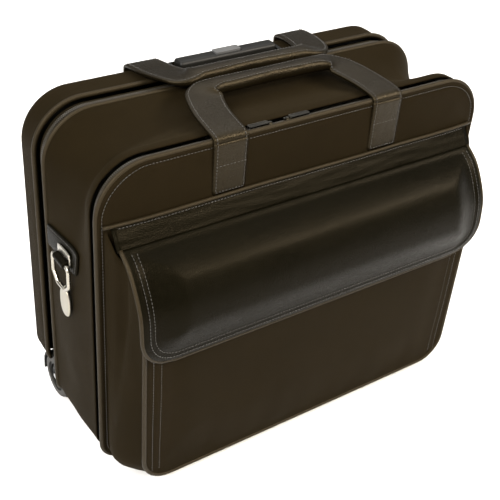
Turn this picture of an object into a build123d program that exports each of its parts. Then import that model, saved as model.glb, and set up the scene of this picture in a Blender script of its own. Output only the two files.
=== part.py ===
from build123d import *
import os

# Rolling laptop case, millimetres. X is the width, +Y points to the back, +Z up.
# The origin is on the floor, under the middle of the closed case.
# Depth positions below are measured forwards from the back face.

# Overall body
case_width = 445
fabric_top = 350
foot_height = 10
foot_margin = 55
rear_floor = 35
top_radius = 50
bottom_radius = 25
piping_radius = 2.5
fabric_wall = 3
gap = 0.4

# Depths of the layers, from the back forwards
skid_depth = 4
rear_depth = 38
rear_zip_width = 18
main_depth = 95
front_zip_width = 10
lid_depth = 6
pocket_depth = 44

# Zips
tape_inset = 5
tape_wall = 1.5
coil_size = 1.5
slider_length = 11
slider_width = 8
slider_height = 3.6
pull_length = 22
pull_width = 6
pull_thickness = 1.4

# Wheels and base
wheel_radius = 25
wheel_width = 20
wheel_inset = 14
wheel_depth = 46
axle_radius = 3
bearing_radius = 8
hub_radius = 17
housing_wall = 2
wheel_clearance = 1.5
running_clearance = 0.05

# Pulling handle
tube_spacing = 96
tube_wide = 26
tube_deep = 16
tube_wall = 1
tube_clearance = 0.3
tube_centre_depth = 19.5
grip_length = 116
grip_deep = 20
grip_height = 20
grip_rise = 7
button_length = 30
button_wide = 10
button_travel = 4

# Inside fittings
board_thickness = 2.5
pad_thickness = 8
strap_thickness = 3
divider_thickness = 3
pad_margin = 40
pad_floor = 40
pad_drop = 50
strap_width_inside = 50
laptop_bay = 45
file_divider_height = 200
file_divider_margin = 15

# Pocket and flap
pocket_back_margin = 6
pocket_front_margin = 22.5
pocket_front_drop = 114
pocket_back_drop = 88
pocket_corner = 30
flap_margin = 15
flap_hinge_drop = 74
flap_hinge_gap = 3
flap_length = 108
flap_hinge_stand = 13
flap_bulge = 16
flap_corner = 36
flap_thickness = 5
shelf_drop = 54
patch_centre = 110
patch_length = 60
patch_width = 20

# Carrying handles
strap_width = 36
strap_centre = 90
strap_thickness_leather = 3.6
grip_half = 70
carry_grip_radius = 11.5
front_grip_reach = 74
rear_grip_reach = 65
carry_grip_height = 366
strap_lift = 3
strap_hinge_stand = 2
tab_length = 49

# Side rings
ring_wire = 2
ring_width = 34
ring_drop = 30
ring_setback = 43
ring_height = 222
side_tab_width = 24
side_tab_length = 64
side_tab_shift = 5.2
tab_stand = 3

# Worked out
half_width = case_width / 2 - piping_radius
wheel_centre_x = half_width - wheel_inset
closed_depth = skid_depth + rear_depth + rear_zip_width + main_depth + front_zip_width + lid_depth
overall_depth = closed_depth + pocket_depth + flap_bulge
back = overall_depth / 2
shell_back = back - skid_depth
rear_front = shell_back - rear_depth
rear_split = rear_front - rear_zip_width / 2
main_back = rear_front - rear_zip_width
main_front = main_back - main_depth
front_split = main_front - front_zip_width / 2
lid_back = main_front - front_zip_width
lid_front = lid_back - lid_depth
pocket_front = lid_front - pocket_depth
wheel_y = back - wheel_depth
axle_z = wheel_radius
housing_inner = wheel_radius + wheel_clearance
housing_outer = housing_inner + housing_wall
housing_left = wheel_centre_x - wheel_width / 2 - wheel_clearance - housing_wall
housing_right = half_width - fabric_wall - gap
tube_y = back - tube_centre_depth
tube_foot = rear_floor + fabric_wall + 4
bezel_height = 14
bezel_bottom = fabric_top - bezel_height
laptop_wall = main_back - divider_thickness
pad_top = fabric_top - pad_drop
pocket_back_half = half_width - pocket_back_margin
pocket_front_half = half_width - pocket_front_margin
pocket_front_top = fabric_top - pocket_front_drop
pocket_back_top = fabric_top - pocket_back_drop
flap_half = half_width - flap_margin
flap_hinge_top = fabric_top - flap_hinge_drop
flap_bottom = flap_hinge_top - flap_length
shelf_top = fabric_top - shelf_drop


def outline(inset, bottom):
    """Outline of the case seen from the front, shrunk by inset, down to bottom."""
    low = bottom + inset
    high = fabric_top - inset
    half = half_width - inset
    shape = Pos(0, (low + high) / 2) * Rectangle(2 * half, high - low)
    upper = shape.vertices().group_by(Axis.Y)[-1]
    shape = fillet(upper, top_radius - inset)
    lower = shape.vertices().group_by(Axis.Y)[0]
    return fillet(lower, bottom_radius - inset)


def layer(shape, y_back, y_front):
    """Stretch a front-view shape from one depth to another."""
    return extrude(Plane.XZ.offset(-y_back) * shape, y_back - y_front)


def ring(inset, wall, bottom, y_back, y_front):
    hollow = outline(inset + wall, bottom)
    return layer(outline(inset, bottom) - hollow, y_back, y_front)


def box_between(x_pair, y_pair, z_pair):
    sizes = [abs(pair[1] - pair[0]) for pair in (x_pair, y_pair, z_pair)]
    middle = [(pair[0] + pair[1]) / 2 for pair in (x_pair, y_pair, z_pair)]
    return Pos(*middle) * Box(*sizes)


def disc_x(radius, x_low, x_high, y, z):
    """Round bar along X."""
    spot = Plane.YZ.offset(x_low) * Pos(y, z) * Circle(radius)
    return extrude(spot, x_high - x_low)


def profile_x(points, x_low, x_high):
    """Side-view outline stretched along X."""
    face = Plane.YZ.offset(x_low) * make_face(Polyline(*points, close=True))
    return extrude(face, x_high - x_low)


def mirrored(shape, side):
    return shape if side > 0 else mirror(shape, Plane.YZ)


def joined(*shapes):
    return Compound(children=[piece for shape in shapes for piece in shape.solids()])


def wheel_space(side, margin, y_low, y_high, z_high):
    """Room that the fabric leaves for one wheel housing, inside the side wall."""
    near = housing_left - margin
    far = half_width - fabric_wall
    return mirrored(box_between((near, far), (y_low, y_high), (-1, z_high)), side)


# Rear section

def rear_shell():
    skin = layer(outline(0, rear_floor), shell_back, rear_front)
    skin = fillet(skin.edges().group_by(Axis.Y)[-1], 8)
    skin -= layer(outline(fabric_wall, rear_floor), shell_back - fabric_wall, rear_front)
    for side in (-1, 1):
        top = axle_z + housing_outer + gap
        skin -= wheel_space(side, gap, wheel_y - housing_outer - gap, wheel_y + housing_outer + gap, top)
    bezel_hole = box_between(
        (-grip_length / 2 - 6 - gap, grip_length / 2 + 6 + gap),
        (tube_y - grip_deep / 2 - 3 - gap, tube_y + grip_deep / 2 - 2 + gap),
        (bezel_bottom, fabric_top + 1),
    )
    return skin - bezel_hole


def seam_piping(y, bottom):
    """Corded edge that stands slightly proud of the fabric."""
    outer = outline(-piping_radius, bottom + piping_radius)
    inner = outline(0, bottom)
    cord = layer(outer - inner, y + piping_radius, y - piping_radius)
    if y > front_split:
        for side in (-1, 1):
            cord -= wheel_space(side, gap, -back, back, axle_z + housing_outer + 6)
    return cord


def zip_half(bottom, y_outer, y_split, towards):
    """Tape ring with half of the coil raised along its free edge."""
    tape = ring(tape_inset, tape_wall, bottom, max(y_outer, y_split), min(y_outer, y_split))
    coil_end = y_split + towards * 2
    coil = ring(tape_inset - coil_size, coil_size, bottom, max(coil_end, y_split), min(coil_end, y_split))
    return tape + coil


def rear_zip_half():
    half = zip_half(rear_floor, rear_front - gap, rear_split + gap / 2, 1)
    for side in (-1, 1):
        top = axle_z + housing_outer + gap
        half -= wheel_space(side, gap, wheel_y - housing_outer - gap, wheel_y + housing_outer + gap, top)
    return half


def rear_frame_sheet():
    sheet = layer(outline(fabric_wall + gap, rear_floor), 0, -board_thickness)
    sheet = Pos(0, shell_back - fabric_wall - gap, 0) * sheet
    for side in (-1, 1):
        top = axle_z + housing_outer + gap
        sheet -= wheel_space(side, gap, -back, back + 50, top)
    bezel = box_between((-grip_length / 2 - 8, grip_length / 2 + 8), (-back, back), (bezel_bottom - 1, 400))
    return sheet - bezel


def base_rail():
    """Rigid beam between the wheel housings that the section hinge bears on."""
    far = housing_left - gap
    beam = box_between((-far, far), (rear_split + 1, shell_back - 6), (12, rear_floor - gap))
    beam = fillet(beam.edges().filter_by(Axis.X).group_by(Axis.Z)[0].sort_by(Axis.Y)[-1], 12)
    hollow = box_between((-far + 6, far - 6), (rear_split + 4, shell_back - 22), (15, rear_floor))
    head_room = disc_x(axle_radius + 2.5 + gap, -far - 1, -far + 5, wheel_y, axle_z)
    return beam - hollow - head_room - mirror(head_room, Plane.YZ)


def wheel_housing(side):
    outer = disc_x(housing_outer, housing_left, housing_right, wheel_y, axle_z)
    span = (wheel_y - housing_outer, wheel_y + housing_outer)
    outer += box_between((housing_left, housing_right), span, (axle_z - 8, axle_z))
    inner = disc_x(housing_inner, housing_left + housing_wall, housing_right + 1, wheel_y, axle_z)
    room = (wheel_y - housing_inner, wheel_y + housing_inner)
    below = box_between((housing_left + housing_wall, housing_right + 1), room, (-50, axle_z))
    cut = box_between((housing_left - 1, housing_right + 1), (wheel_y - 60, wheel_y + 60), (-50, axle_z - 8))
    bore = disc_x(axle_radius, housing_left - 1, housing_left + housing_wall + 1, wheel_y, axle_z)
    return mirrored(outer - inner - below - cut - bore, side)


def axles():
    pin = disc_x(axle_radius, housing_left - 3, wheel_centre_x + wheel_width / 2 + 0.6, wheel_y, axle_z)
    pin += disc_x(axle_radius + 2.5, housing_left - 3, housing_left - gap / 2, wheel_y, axle_z)
    return joined(*[mirrored(pin, side) for side in (-1, 1)])


def wheel_piece(side, outer, inner, width):
    low = wheel_centre_x - width / 2
    solid = disc_x(outer, low, low + width, wheel_y, axle_z)
    return solid - disc_x(inner, low - 1, low + width + 1, wheel_y, axle_z)


def tyre(side):
    piece = wheel_piece(side, wheel_radius, hub_radius, wheel_width)
    rims = piece.edges().filter_by(GeomType.CIRCLE).sort_by(SortBy.RADIUS)[-2:]
    return mirrored(fillet(rims, 3), side)


def hub(side):
    piece = wheel_piece(side, hub_radius, bearing_radius, wheel_width - 3)
    for end in (-1, 1):
        face_x = wheel_centre_x + end * (wheel_width - 3) / 2
        dish = disc_x(hub_radius - 3, face_x - 2, face_x + 2, wheel_y, axle_z)
        piece -= dish - disc_x(bearing_radius + 2, face_x - 3, face_x + 3, wheel_y, axle_z)
    return mirrored(piece, side)


def bearing(side):
    piece = wheel_piece(side, bearing_radius, axle_radius + running_clearance, wheel_width - 5)
    return mirrored(piece, side)


# Pulling handle

def tube(stage, foot, head):
    """One stage of one leg; stage 0 is the fixed outer tube."""
    step = 2 * (tube_wall + tube_clearance)
    wide = tube_wide - stage * step
    deep = tube_deep - stage * step
    shape = RectangleRounded(wide, deep, 3) - RectangleRounded(wide - 2 * tube_wall, deep - 2 * tube_wall, 2)
    return Pos(0, tube_y, foot) * extrude(shape, head - foot)


def trolley_tubes(stage):
    """The left and right tubes of one stage."""
    head = bezel_bottom - 2 + stage
    if stage == 3:
        head = fabric_top + grip_rise - grip_height
    leg = tube(stage, tube_foot + stage * 2, head)
    return joined(*[Pos(side * tube_spacing / 2, 0, 0) * leg for side in (-1, 1)])


def trolley_foot():
    bar = box_between(
        (-tube_spacing / 2 - 20, tube_spacing / 2 + 20),
        (tube_y - tube_deep / 2 - 2, tube_y + tube_deep / 2),
        (rear_floor + fabric_wall + gap, tube_foot + 16),
    )
    for side in (-1, 1):
        pin_hole = extrude(RectangleRounded(tube_wide + 0.1, tube_deep + 0.1, 3), 30)
        seat = Pos(side * tube_spacing / 2, tube_y, tube_foot) * pin_hole
        bar -= seat
    return bar


def trolley_bezel():
    half = grip_length / 2
    cup = box_between(
        (-half - 6, half + 6),
        (tube_y - grip_deep / 2 - 3, tube_y + grip_deep / 2 - 2),
        (bezel_bottom, fabric_top + 1),
    )
    cup = fillet(cup.edges().filter_by(Axis.Z), 3)
    well = box_between(
        (-half - 1.5, half + 1.5),
        (tube_y - grip_deep / 2 - 1, tube_y + grip_deep / 2 - 3.5),
        (fabric_top + grip_rise - grip_height - 0.5, fabric_top + 2),
    )
    cup -= well
    for side in (-1, 1):
        hole = RectangleRounded(tube_wide - 1, tube_deep - 1, 3)
        cup -= Pos(side * tube_spacing / 2, tube_y, bezel_bottom - 1) * extrude(hole, 30)
    return cup


def trolley_grip():
    half = grip_length / 2
    body = box_between(
        (-half, half),
        (tube_y - grip_deep / 2, tube_y + grip_deep / 2 - 4.5),
        (fabric_top + grip_rise - grip_height, fabric_top + grip_rise),
    )
    body = fillet(body.edges().filter_by(Axis.X).group_by(Axis.Z)[-1], 4)
    body = fillet(body.edges().filter_by(Axis.Z), 3)
    top = fabric_top + grip_rise
    well = box_between(
        (-button_length / 2 - gap, button_length / 2 + gap),
        (tube_y - 2 - button_wide / 2 - gap, tube_y - 2 + button_wide / 2 + gap),
        (top - 8, top + 1),
    )
    return body - well


def release_button():
    top = fabric_top + grip_rise
    low = top - 8 + button_travel + gap
    cap = box_between(
        (-button_length / 2, button_length / 2),
        (tube_y - 2 - button_wide / 2, tube_y - 2 + button_wide / 2),
        (low, top + 1.5),
    )
    return fillet(cap.edges().filter_by(Axis.Z), 2)


def skid_strips():
    """Wear strips on the lower back that take the knocks of kerbs and stairs."""
    strips = []
    for side in (-1, 1):
        strip = box_between((side * 140 - 12, side * 140 + 12), (shell_back, back), (60, 200))
        strips.append(fillet(strip.edges().filter_by(Axis.Y), 8))
    return joined(*strips)


# Main section

def main_gusset():
    body = ring(0, fabric_wall, foot_height, main_back, main_front)
    for side in (-1, 1):
        reach = wheel_y - housing_outer - 4
        body -= wheel_space(side, gap, reach, back, axle_z + housing_outer + 6)
    return body


def main_divider():
    wall = layer(outline(fabric_wall + gap, foot_height), main_back - gap, main_back - divider_thickness)
    for side in (-1, 1):
        wall -= wheel_space(side, gap, -back, back, axle_z + housing_outer + 6)
    return wall


def main_rear_zip_half():
    half = zip_half(foot_height, main_back + gap, rear_split - gap / 2, -1)
    for side in (-1, 1):
        half -= wheel_space(side, gap, -back, back, axle_z + housing_outer + 6)
    cut = box_between((-400, 400), (-back, back), (-1, axle_z + housing_outer + 6))
    sides = box_between((-housing_left + 2, housing_left - 2), (-back, back), (-1, 400))
    return half - (cut - sides)


def laptop_pad():
    half = half_width - pad_margin
    face = laptop_wall - gap
    pad = box_between((-half, half), (face, face - pad_thickness), (pad_floor, pad_top))
    return fillet(pad.edges().filter_by(Axis.Y), 20)


def laptop_strap():
    face = laptop_wall - 2 * gap - pad_thickness
    half = strap_width_inside / 2
    return box_between((-half, half), (face, face - strap_thickness), (pad_floor + 50, pad_top - 10))


def file_divider():
    y = laptop_wall - laptop_bay
    half = half_width - file_divider_margin
    floor = foot_height + fabric_wall + gap
    sheet = box_between((-half, half), (y, y - board_thickness), (floor, file_divider_height))
    return fillet(sheet.edges().filter_by(Axis.Y), 10)


def stiffener():
    """Springy frame strip that keeps the front mouth of the section square."""
    return ring(fabric_wall + gap, 2, foot_height, main_front + 14, main_front + 4)


def feet():
    pads = []
    for side in (-1, 1):
        x = side * (half_width - foot_margin)
        foot = box_between((x - 20, x + 20), (main_front + 8, main_front + 24), (0, foot_height))
        pads.append(fillet(foot.edges().filter_by(Axis.Z), 5))
    return joined(*pads)


def side_tab(side):
    """Leather tab sewn to the side of the section, with a sleeve for the ring."""
    x = half_width
    y = main_back - ring_setback
    low = ring_height - 4
    high = low + side_tab_width
    middle = y + side_tab_shift
    y_pair = (middle - side_tab_length / 2, middle + side_tab_length / 2)
    tab = box_between((x, x + tab_stand), y_pair, (low, high))
    tab = fillet(tab.edges().filter_by(Axis.X), 5)
    sleeve_x = x + tab_stand + ring_wire + 1.2
    sleeve_z = (ring_height - 3.5, ring_height + 3.5)
    sleeve = box_between((x + tab_stand, sleeve_x + ring_wire + 1.2), (y - 11, y + 11), sleeve_z)
    bore = Plane.XZ.offset(-y - 12) * Pos(sleeve_x, ring_height) * Circle(ring_wire + running_clearance)
    return mirrored(tab + sleeve - extrude(bore, 24), side)


def side_ring(side):
    x = half_width + tab_stand + ring_wire + 1.2
    y = main_back - ring_setback
    half = ring_width / 2
    low = ring_height - ring_drop
    corners = [
        (x, y - half, ring_height),
        (x, y + half, ring_height),
        (x, y + half, low + 9),
        (x, y + half - 9, low),
        (x, y - half + 9, low),
        (x, y - half, low + 9),
    ]
    wire = FilletPolyline(*corners, radius=4, close=True)
    start = Plane(wire @ 0, z_dir=wire % 0)
    return mirrored(sweep(start * Circle(ring_wire), wire), side)


# Front lid, pocket and flap

def front_panel():
    return layer(outline(0, foot_height), lid_back, lid_front)


def lid_zip_half():
    return zip_half(foot_height, lid_back + gap, front_split - gap / 2, -1)


def main_front_zip_half():
    return zip_half(foot_height, main_front - gap, front_split + gap / 2, 1)


def pocket_block(wall, base):
    """Pocket volume, wider at the panel than at its front."""
    points = [
        (-pocket_back_half + wall, lid_front - gap),
        (pocket_back_half - wall, lid_front - gap),
        (pocket_front_half - wall, pocket_front + wall),
        (-pocket_front_half + wall, pocket_front + wall),
    ]
    block = Pos(0, 0, base) * extrude(make_face(Polyline(*points, close=True)), 400)
    ends = block.edges().filter_by(Axis.Y, tolerance=30).group_by(Axis.Z)[0]
    return fillet(ends, pocket_corner - wall)


def pocket_shell():
    solid = pocket_block(0, foot_height) - pocket_block(fabric_wall, foot_height + fabric_wall)
    slope = [
        (lid_front + 10, pocket_back_top + 6),
        (lid_front - gap, pocket_back_top),
        (pocket_front, pocket_front_top),
        (pocket_front - 10, pocket_front_top),
        (pocket_front - 10, 500),
        (lid_front + 10, 500),
    ]
    return solid - profile_x(slope, -300, 300)


def pocket_organiser():
    """Row of pen loops and card slots on the panel behind the pocket."""
    y = lid_front - gap
    board = box_between((-150, 150), (y, y - 3), (90, pocket_front_top - 6))
    for number in range(4):
        x = 60 + number * 18
        board += box_between((x - 7, x + 7), (y - 3, y - 11), (150, 200))
        board -= box_between((x - 5.5, x + 5.5), (y - 3, y - 9.5), (149, 201))
    return board


def flap_shelf():
    """Sloping strip that carries the flap's hinge seam in front of the panel."""
    low = flap_hinge_top + 3.5
    front = lid_front - flap_hinge_stand + flap_hinge_gap
    points = [
        (lid_front - gap, shelf_top),
        (front, low + 2),
        (front, low - 2),
        (lid_front - gap, shelf_top - 6),
    ]
    return profile_x(points, -flap_half, flap_half)


def flap_profile(outer):
    """Bulging side view of the flap, hinge first."""
    hinge_y = lid_front - flap_hinge_stand
    belly = -back + flap_thickness * (0 if outer else 1)
    grow = 0 if outer else flap_thickness
    top = (hinge_y - 0.2, flap_hinge_top - grow * 0.7)
    return Spline(
        top,
        (hinge_y - 21 + grow * 0.7, flap_hinge_top - 17 - grow * 0.7),
        (belly + 6, flap_bottom + 64),
        (belly + 0.1, flap_bottom + 38),
        (belly + 2, flap_bottom + 16),
        (belly + 6, flap_bottom),
    )


def flap_cover():
    outer = flap_profile(True)
    inner = flap_profile(False)
    ends = [Line(outer @ 0, inner @ 0), Line(outer @ 1, inner @ 1)]
    face = Plane.YZ.offset(-flap_half) * make_face([outer, inner] + ends)
    cover = extrude(face, 2 * flap_half)
    height = flap_hinge_top + 10 - flap_bottom + 2
    front = Pos(0, flap_bottom - 2 + height / 2) * Rectangle(2 * flap_half, height)
    front = fillet(front.vertices().group_by(Axis.Y)[0], flap_corner)
    return cover & layer(front, back, -back - 5)


def closure_patch(y, thickness, z_low):
    patches = []
    for side in (-1, 1):
        x = side * patch_centre
        x_pair = (x - patch_length / 2, x + patch_length / 2)
        patches.append(box_between(x_pair, (y, y - thickness), (z_low, z_low + patch_width)))
    return joined(*patches)


# Carrying handles

def handle_tabs_front():
    tabs = []
    top = fabric_top - 4
    for side in (-1, 1):
        tab = box_between(
            (side * strap_centre - strap_width / 2, side * strap_centre + strap_width / 2),
            (lid_front, lid_front - strap_thickness_leather),
            (top - tab_length, top),
        )
        tabs.append(tab)
    return joined(*tabs)


def handle_tabs_rear():
    tabs = []
    for side in (-1, 1):
        tab = box_between(
            (side * strap_centre - strap_width / 2, side * strap_centre + strap_width / 2),
            (shell_back, shell_back + strap_thickness_leather),
            (fabric_top - 10 - tab_length, fabric_top - 10),
        )
        tabs.append(tab)
    return joined(*tabs)


def carry_straps(y_hinge, y_grip):
    """Two flat straps that lean from the hinge line to the ends of the grip."""
    straps = []
    towards = 1 if y_grip > y_hinge else -1
    low = fabric_top + strap_lift
    rise = carry_grip_height - strap_thickness_leather / 2 - low
    for side in (-1, 1):
        inner = side * (strap_centre - strap_width / 2)
        outer = side * (strap_centre + strap_width / 2)
        tip = y_grip - towards * (carry_grip_radius - 3)
        plan = [(inner, y_hinge), (outer, y_hinge)]
        plan += [(side * (grip_half + 16), tip), (side * (grip_half - 12), tip)]
        prism = Pos(0, 0, low - 30) * extrude(make_face(Polyline(*plan, close=True)), 120)
        side_view = [
            (y_hinge, low),
            (y_hinge, low + strap_thickness_leather),
            (tip, low + rise + strap_thickness_leather),
            (tip, low + rise),
        ]
        straps.append(prism & profile_x(side_view, -200, 200))
    return joined(*straps)


def carry_grip(y_grip):
    bar = disc_x(carry_grip_radius, -grip_half - 14, grip_half + 14, y_grip, carry_grip_height)
    return fillet(bar.edges().filter_by(GeomType.CIRCLE), 5)


# Zip sliders

def slider(x, y, side):
    base = fabric_top - tape_inset + coil_size + gap
    deck = base + slider_height - 1.6
    body = Pos(x, y, (base + deck) / 2) * Box(slider_length, slider_width, deck - base)
    ear = Pos(x - side * 3.5, y, deck + 0.8) * Box(3, 2.4, 1.6)
    return body + ear


def slider_pull(x, y, side):
    base = fabric_top - tape_inset + coil_size + gap + slider_height - 0.6
    centre = x + side * (pull_length / 2 - 1.4)
    bar = Pos(centre, y, base + pull_thickness / 2) * Box(pull_length, pull_width, pull_thickness)
    return fillet(bar.edges().filter_by(Axis.Z), 2)


def main():
    os.makedirs("parts", exist_ok=True)
    nodes = {
        "rear_shell": rear_shell(),
        "rear_piping": seam_piping(rear_front + piping_radius, rear_floor),
        "rear_zip_half": rear_zip_half(),
        "rear_frame_sheet": rear_frame_sheet(),
        "base_rail": base_rail(),
        "axles": axles(),
        "trolley_foot": trolley_foot(),
        "trolley_bezel": trolley_bezel(),
        "trolley_grip": trolley_grip(),
        "release_button": release_button(),
        "skid_strips": skid_strips(),
        "main_gusset": main_gusset(),
        "main_piping": seam_piping(main_back - piping_radius, foot_height),
        "main_divider": main_divider(),
        "main_rear_zip_half": main_rear_zip_half(),
        "main_front_zip_half": main_front_zip_half(),
        "main_stiffener": stiffener(),
        "laptop_pad": laptop_pad(),
        "laptop_strap": laptop_strap(),
        "file_divider": file_divider(),
        "front_feet": feet(),
        "front_panel": front_panel(),
        "front_piping": seam_piping((lid_back + lid_front) / 2, foot_height),
        "lid_zip_half": lid_zip_half(),
        "pocket_shell": pocket_shell(),
        "pocket_organiser": pocket_organiser(),
        "flap_shelf": flap_shelf(),
        "flap_cover": flap_cover(),
        "flap_hook_patch": closure_patch(pocket_front - 4, 1, flap_bottom + 10),
        "pocket_loop_patch": closure_patch(pocket_front, 1, flap_bottom + 10),
        "handle_tabs_front": handle_tabs_front(),
        "handle_tabs_rear": handle_tabs_rear(),
        "front_handle_straps": carry_straps(lid_front - strap_hinge_stand, lid_front + front_grip_reach),
        "front_handle_grip": carry_grip(lid_front + front_grip_reach),
        "rear_handle_straps": carry_straps(shell_back + strap_hinge_stand, shell_back - rear_grip_reach),
        "rear_handle_grip": carry_grip(shell_back - rear_grip_reach),
    }
    for name, side in (("left", -1), ("right", 1)):
        nodes["wheel_housing_" + name] = wheel_housing(side)
        nodes["tyre_" + name] = tyre(side)
        nodes["hub_" + name] = hub(side)
        nodes["bearing_" + name] = bearing(side)
        nodes["side_tab_" + name] = side_tab(side)
        nodes["side_ring_" + name] = side_ring(side)
    for name, x, y, side in (
        ("rear_slider_left", -20, rear_split, -1),
        ("rear_slider_right", 12, rear_split, 1),
        ("front_slider_left", -44, front_split, -1),
        ("front_slider_right", -18, front_split, 1),
    ):
        nodes[name] = slider(x, y, side)
        nodes[name + "_pull"] = slider_pull(x, y, side)
    for stage, name in enumerate(("outer", "lower", "middle", "upper")):
        nodes["trolley_tubes_" + name] = trolley_tubes(stage)
    for name, shape in nodes.items():
        export_step(shape, "parts/" + name + ".step")


main()
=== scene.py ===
import math
import bmesh
import bpy
from mathutils import Matrix, Vector, noise


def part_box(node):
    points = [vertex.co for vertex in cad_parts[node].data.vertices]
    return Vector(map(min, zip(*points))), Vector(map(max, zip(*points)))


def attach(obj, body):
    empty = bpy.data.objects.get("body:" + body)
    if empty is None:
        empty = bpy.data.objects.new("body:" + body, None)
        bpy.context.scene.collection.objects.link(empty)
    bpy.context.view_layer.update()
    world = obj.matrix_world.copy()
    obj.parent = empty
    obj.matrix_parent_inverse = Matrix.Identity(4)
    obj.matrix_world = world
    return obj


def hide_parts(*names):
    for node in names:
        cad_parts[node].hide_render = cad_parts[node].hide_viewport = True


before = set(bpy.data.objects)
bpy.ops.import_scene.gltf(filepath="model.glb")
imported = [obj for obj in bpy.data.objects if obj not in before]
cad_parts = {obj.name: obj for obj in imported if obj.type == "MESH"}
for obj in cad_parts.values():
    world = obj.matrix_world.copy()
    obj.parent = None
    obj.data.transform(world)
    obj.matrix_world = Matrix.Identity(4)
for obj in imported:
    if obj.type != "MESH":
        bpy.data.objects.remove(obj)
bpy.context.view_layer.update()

mm = 0.001
print("frame loaded")


# reading places from the frame

def low(node, axis):
    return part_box(node)[0]["xyz".index(axis)]


def high(node, axis):
    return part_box(node)[1]["xyz".index(axis)]


def middle(node, axis):
    return (low(node, axis) + high(node, axis)) / 2


place = {
    "halfWidth": high("main_gusset", "x"),
    "top": high("main_gusset", "z"),
    "mainFloor": low("main_gusset", "z"),
    "rearFloor": low("rear_shell", "z"),
    "rearBack": high("rear_shell", "y"),
    "rearFront": low("rear_shell", "y"),
    "mainBack": high("main_gusset", "y"),
    "mainFront": low("main_gusset", "y"),
    "lidBack": high("front_panel", "y"),
    "lidFront": low("front_panel", "y"),
    "pocketFront": low("pocket_shell", "y"),
    "topRadius": 50 * mm,
    "bottomRadius": 25 * mm,
}


def blendStep(a, b, t):
    t = max(0.0, min(1.0, (t - a) / (b - a)))
    return t * t * (3 - 2 * t)


def along(a, b, count):
    return [a + (b - a) * i / (count - 1) for i in range(count)]


def mix(a, b, share):
    return a + (b - a) * share


def dent(away, width):
    # bell curve, 1 in the middle of a furrow
    return math.exp(-((away / width) ** 2))


def roundedBox(value, power):
    return math.copysign(abs(value) ** power, value)


def cornerCut(radius, left):
    # how far a rounded corner comes in, this far from the end of its side
    return radius - math.sqrt(max(0.0, radius ** 2 - (radius - left) ** 2))


def smoothLine(knots, perSpan):
    # smooth curve through all its knots
    ends = [2 * knots[0] - knots[1]] + knots + [2 * knots[-1] - knots[-2]]
    fine = []
    for i in range(1, len(ends) - 2):
        a, b, c, d = ends[i - 1:i + 3]
        bend, twist = 2 * a - 5 * b + 4 * c - d, 3 * b - a - 3 * c + d
        for s in along(0, 1, perSpan + 1)[:-1]:
            fine.append(0.5 * ((2 * b) + (c - a) * s + bend * s * s + twist * s ** 3))
    fine.append(knots[-1].copy())
    return fine


# mesh helpers

cordWeld = 0.01 * mm
panelWeld = 0.02 * mm


def newPiece(name, points, faces, finish, uvs=None):
    mesh = bpy.data.meshes.new(name)
    mesh.from_pydata([tuple(p) for p in points], [], faces)
    if uvs:
        layer = mesh.uv_layers.new(name="cloth")
        for loop in mesh.loops:
            layer.data[loop.index].uv = uvs[loop.vertex_index]
    mesh.polygons.foreach_set("use_smooth", [True] * len(mesh.polygons))
    mesh.materials.append(finishes[finish])
    mesh.update()
    piece = bpy.data.objects.new(name, mesh)
    bpy.context.scene.collection.objects.link(piece)
    return piece


def gridPiece(name, rows, finish, closed=False, skip=None):
    # rows of points make a sheet of quads, with a cloth map in metres
    count = len(rows[0])
    points = [p for row in rows for p in row]
    uvs = []
    downs = [0.0] * count
    for r, row in enumerate(rows):
        across = 0.0
        for c, p in enumerate(row):
            if c:
                across += (p - row[c - 1]).length
            if r:
                downs[c] += (p - rows[r - 1][c]).length
            uvs.append((across, downs[c]))
    faces = []
    for r in range(len(rows) - 1):
        for c in range(count if closed else count - 1):
            d = (c + 1) % count
            quad = [r * count + c, r * count + d, (r + 1) * count + d, (r + 1) * count + c]
            if skip and skip([points[i] for i in quad]):
                continue
            faces.append(quad)
    return newPiece(name, points, faces, finish, uvs)


def addModifier(piece, kind, **values):
    modifier = piece.modifiers.new(kind.title(), kind)
    for key, value in values.items():
        setattr(modifier, key, value)
    return modifier


def applyModifiers(piece):
    graph = bpy.context.evaluated_depsgraph_get()
    mesh = bpy.data.meshes.new_from_object(piece.evaluated_get(graph), depsgraph=graph)
    piece.modifiers.clear()
    piece.data = mesh
    return piece


def mendNormals(piece, merge=0.0):
    work = bmesh.new()
    work.from_mesh(piece.data)
    if merge:
        bmesh.ops.remove_doubles(work, verts=work.verts, dist=merge)
    bmesh.ops.recalc_face_normals(work, faces=work.faces)
    work.to_mesh(piece.data)
    work.free()
    return piece


def closePanel(piece):
    # fills the middle of a flat panel and lays its weave straight across it
    work = bmesh.new()
    work.from_mesh(piece.data)
    bmesh.ops.remove_doubles(work, verts=work.verts, dist=panelWeld)
    reach = place["halfWidth"] - 80 * mm
    inner = [e for e in work.edges if e.is_boundary and all(abs(v.co.x) < reach for v in e.verts)]
    inner = [e for e in inner if all(90 * mm < v.co.z < place["top"] - 80 * mm for v in e.verts)]
    filled = bmesh.ops.edgeloop_fill(work, edges=inner)["faces"]
    bmesh.ops.triangulate(work, faces=filled)
    work.normal_update()
    cloth = work.loops.layers.uv["cloth"]
    for face in work.faces:
        face.smooth = True
        if abs(face.normal.y) > 0.9:
            for loop in face.loops:
                loop[cloth].uv = (loop.vert.co.x, loop.vert.co.z)
    work.to_mesh(piece.data)
    work.free()


def bulkOut(piece, thickness, offset=-1.0):
    addModifier(piece, "SOLIDIFY", thickness=thickness, offset=offset, use_rim=True)
    return applyModifiers(piece)


def soften(piece):
    addModifier(piece, "SUBSURF", levels=1, render_levels=1)
    return applyModifiers(piece)


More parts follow.
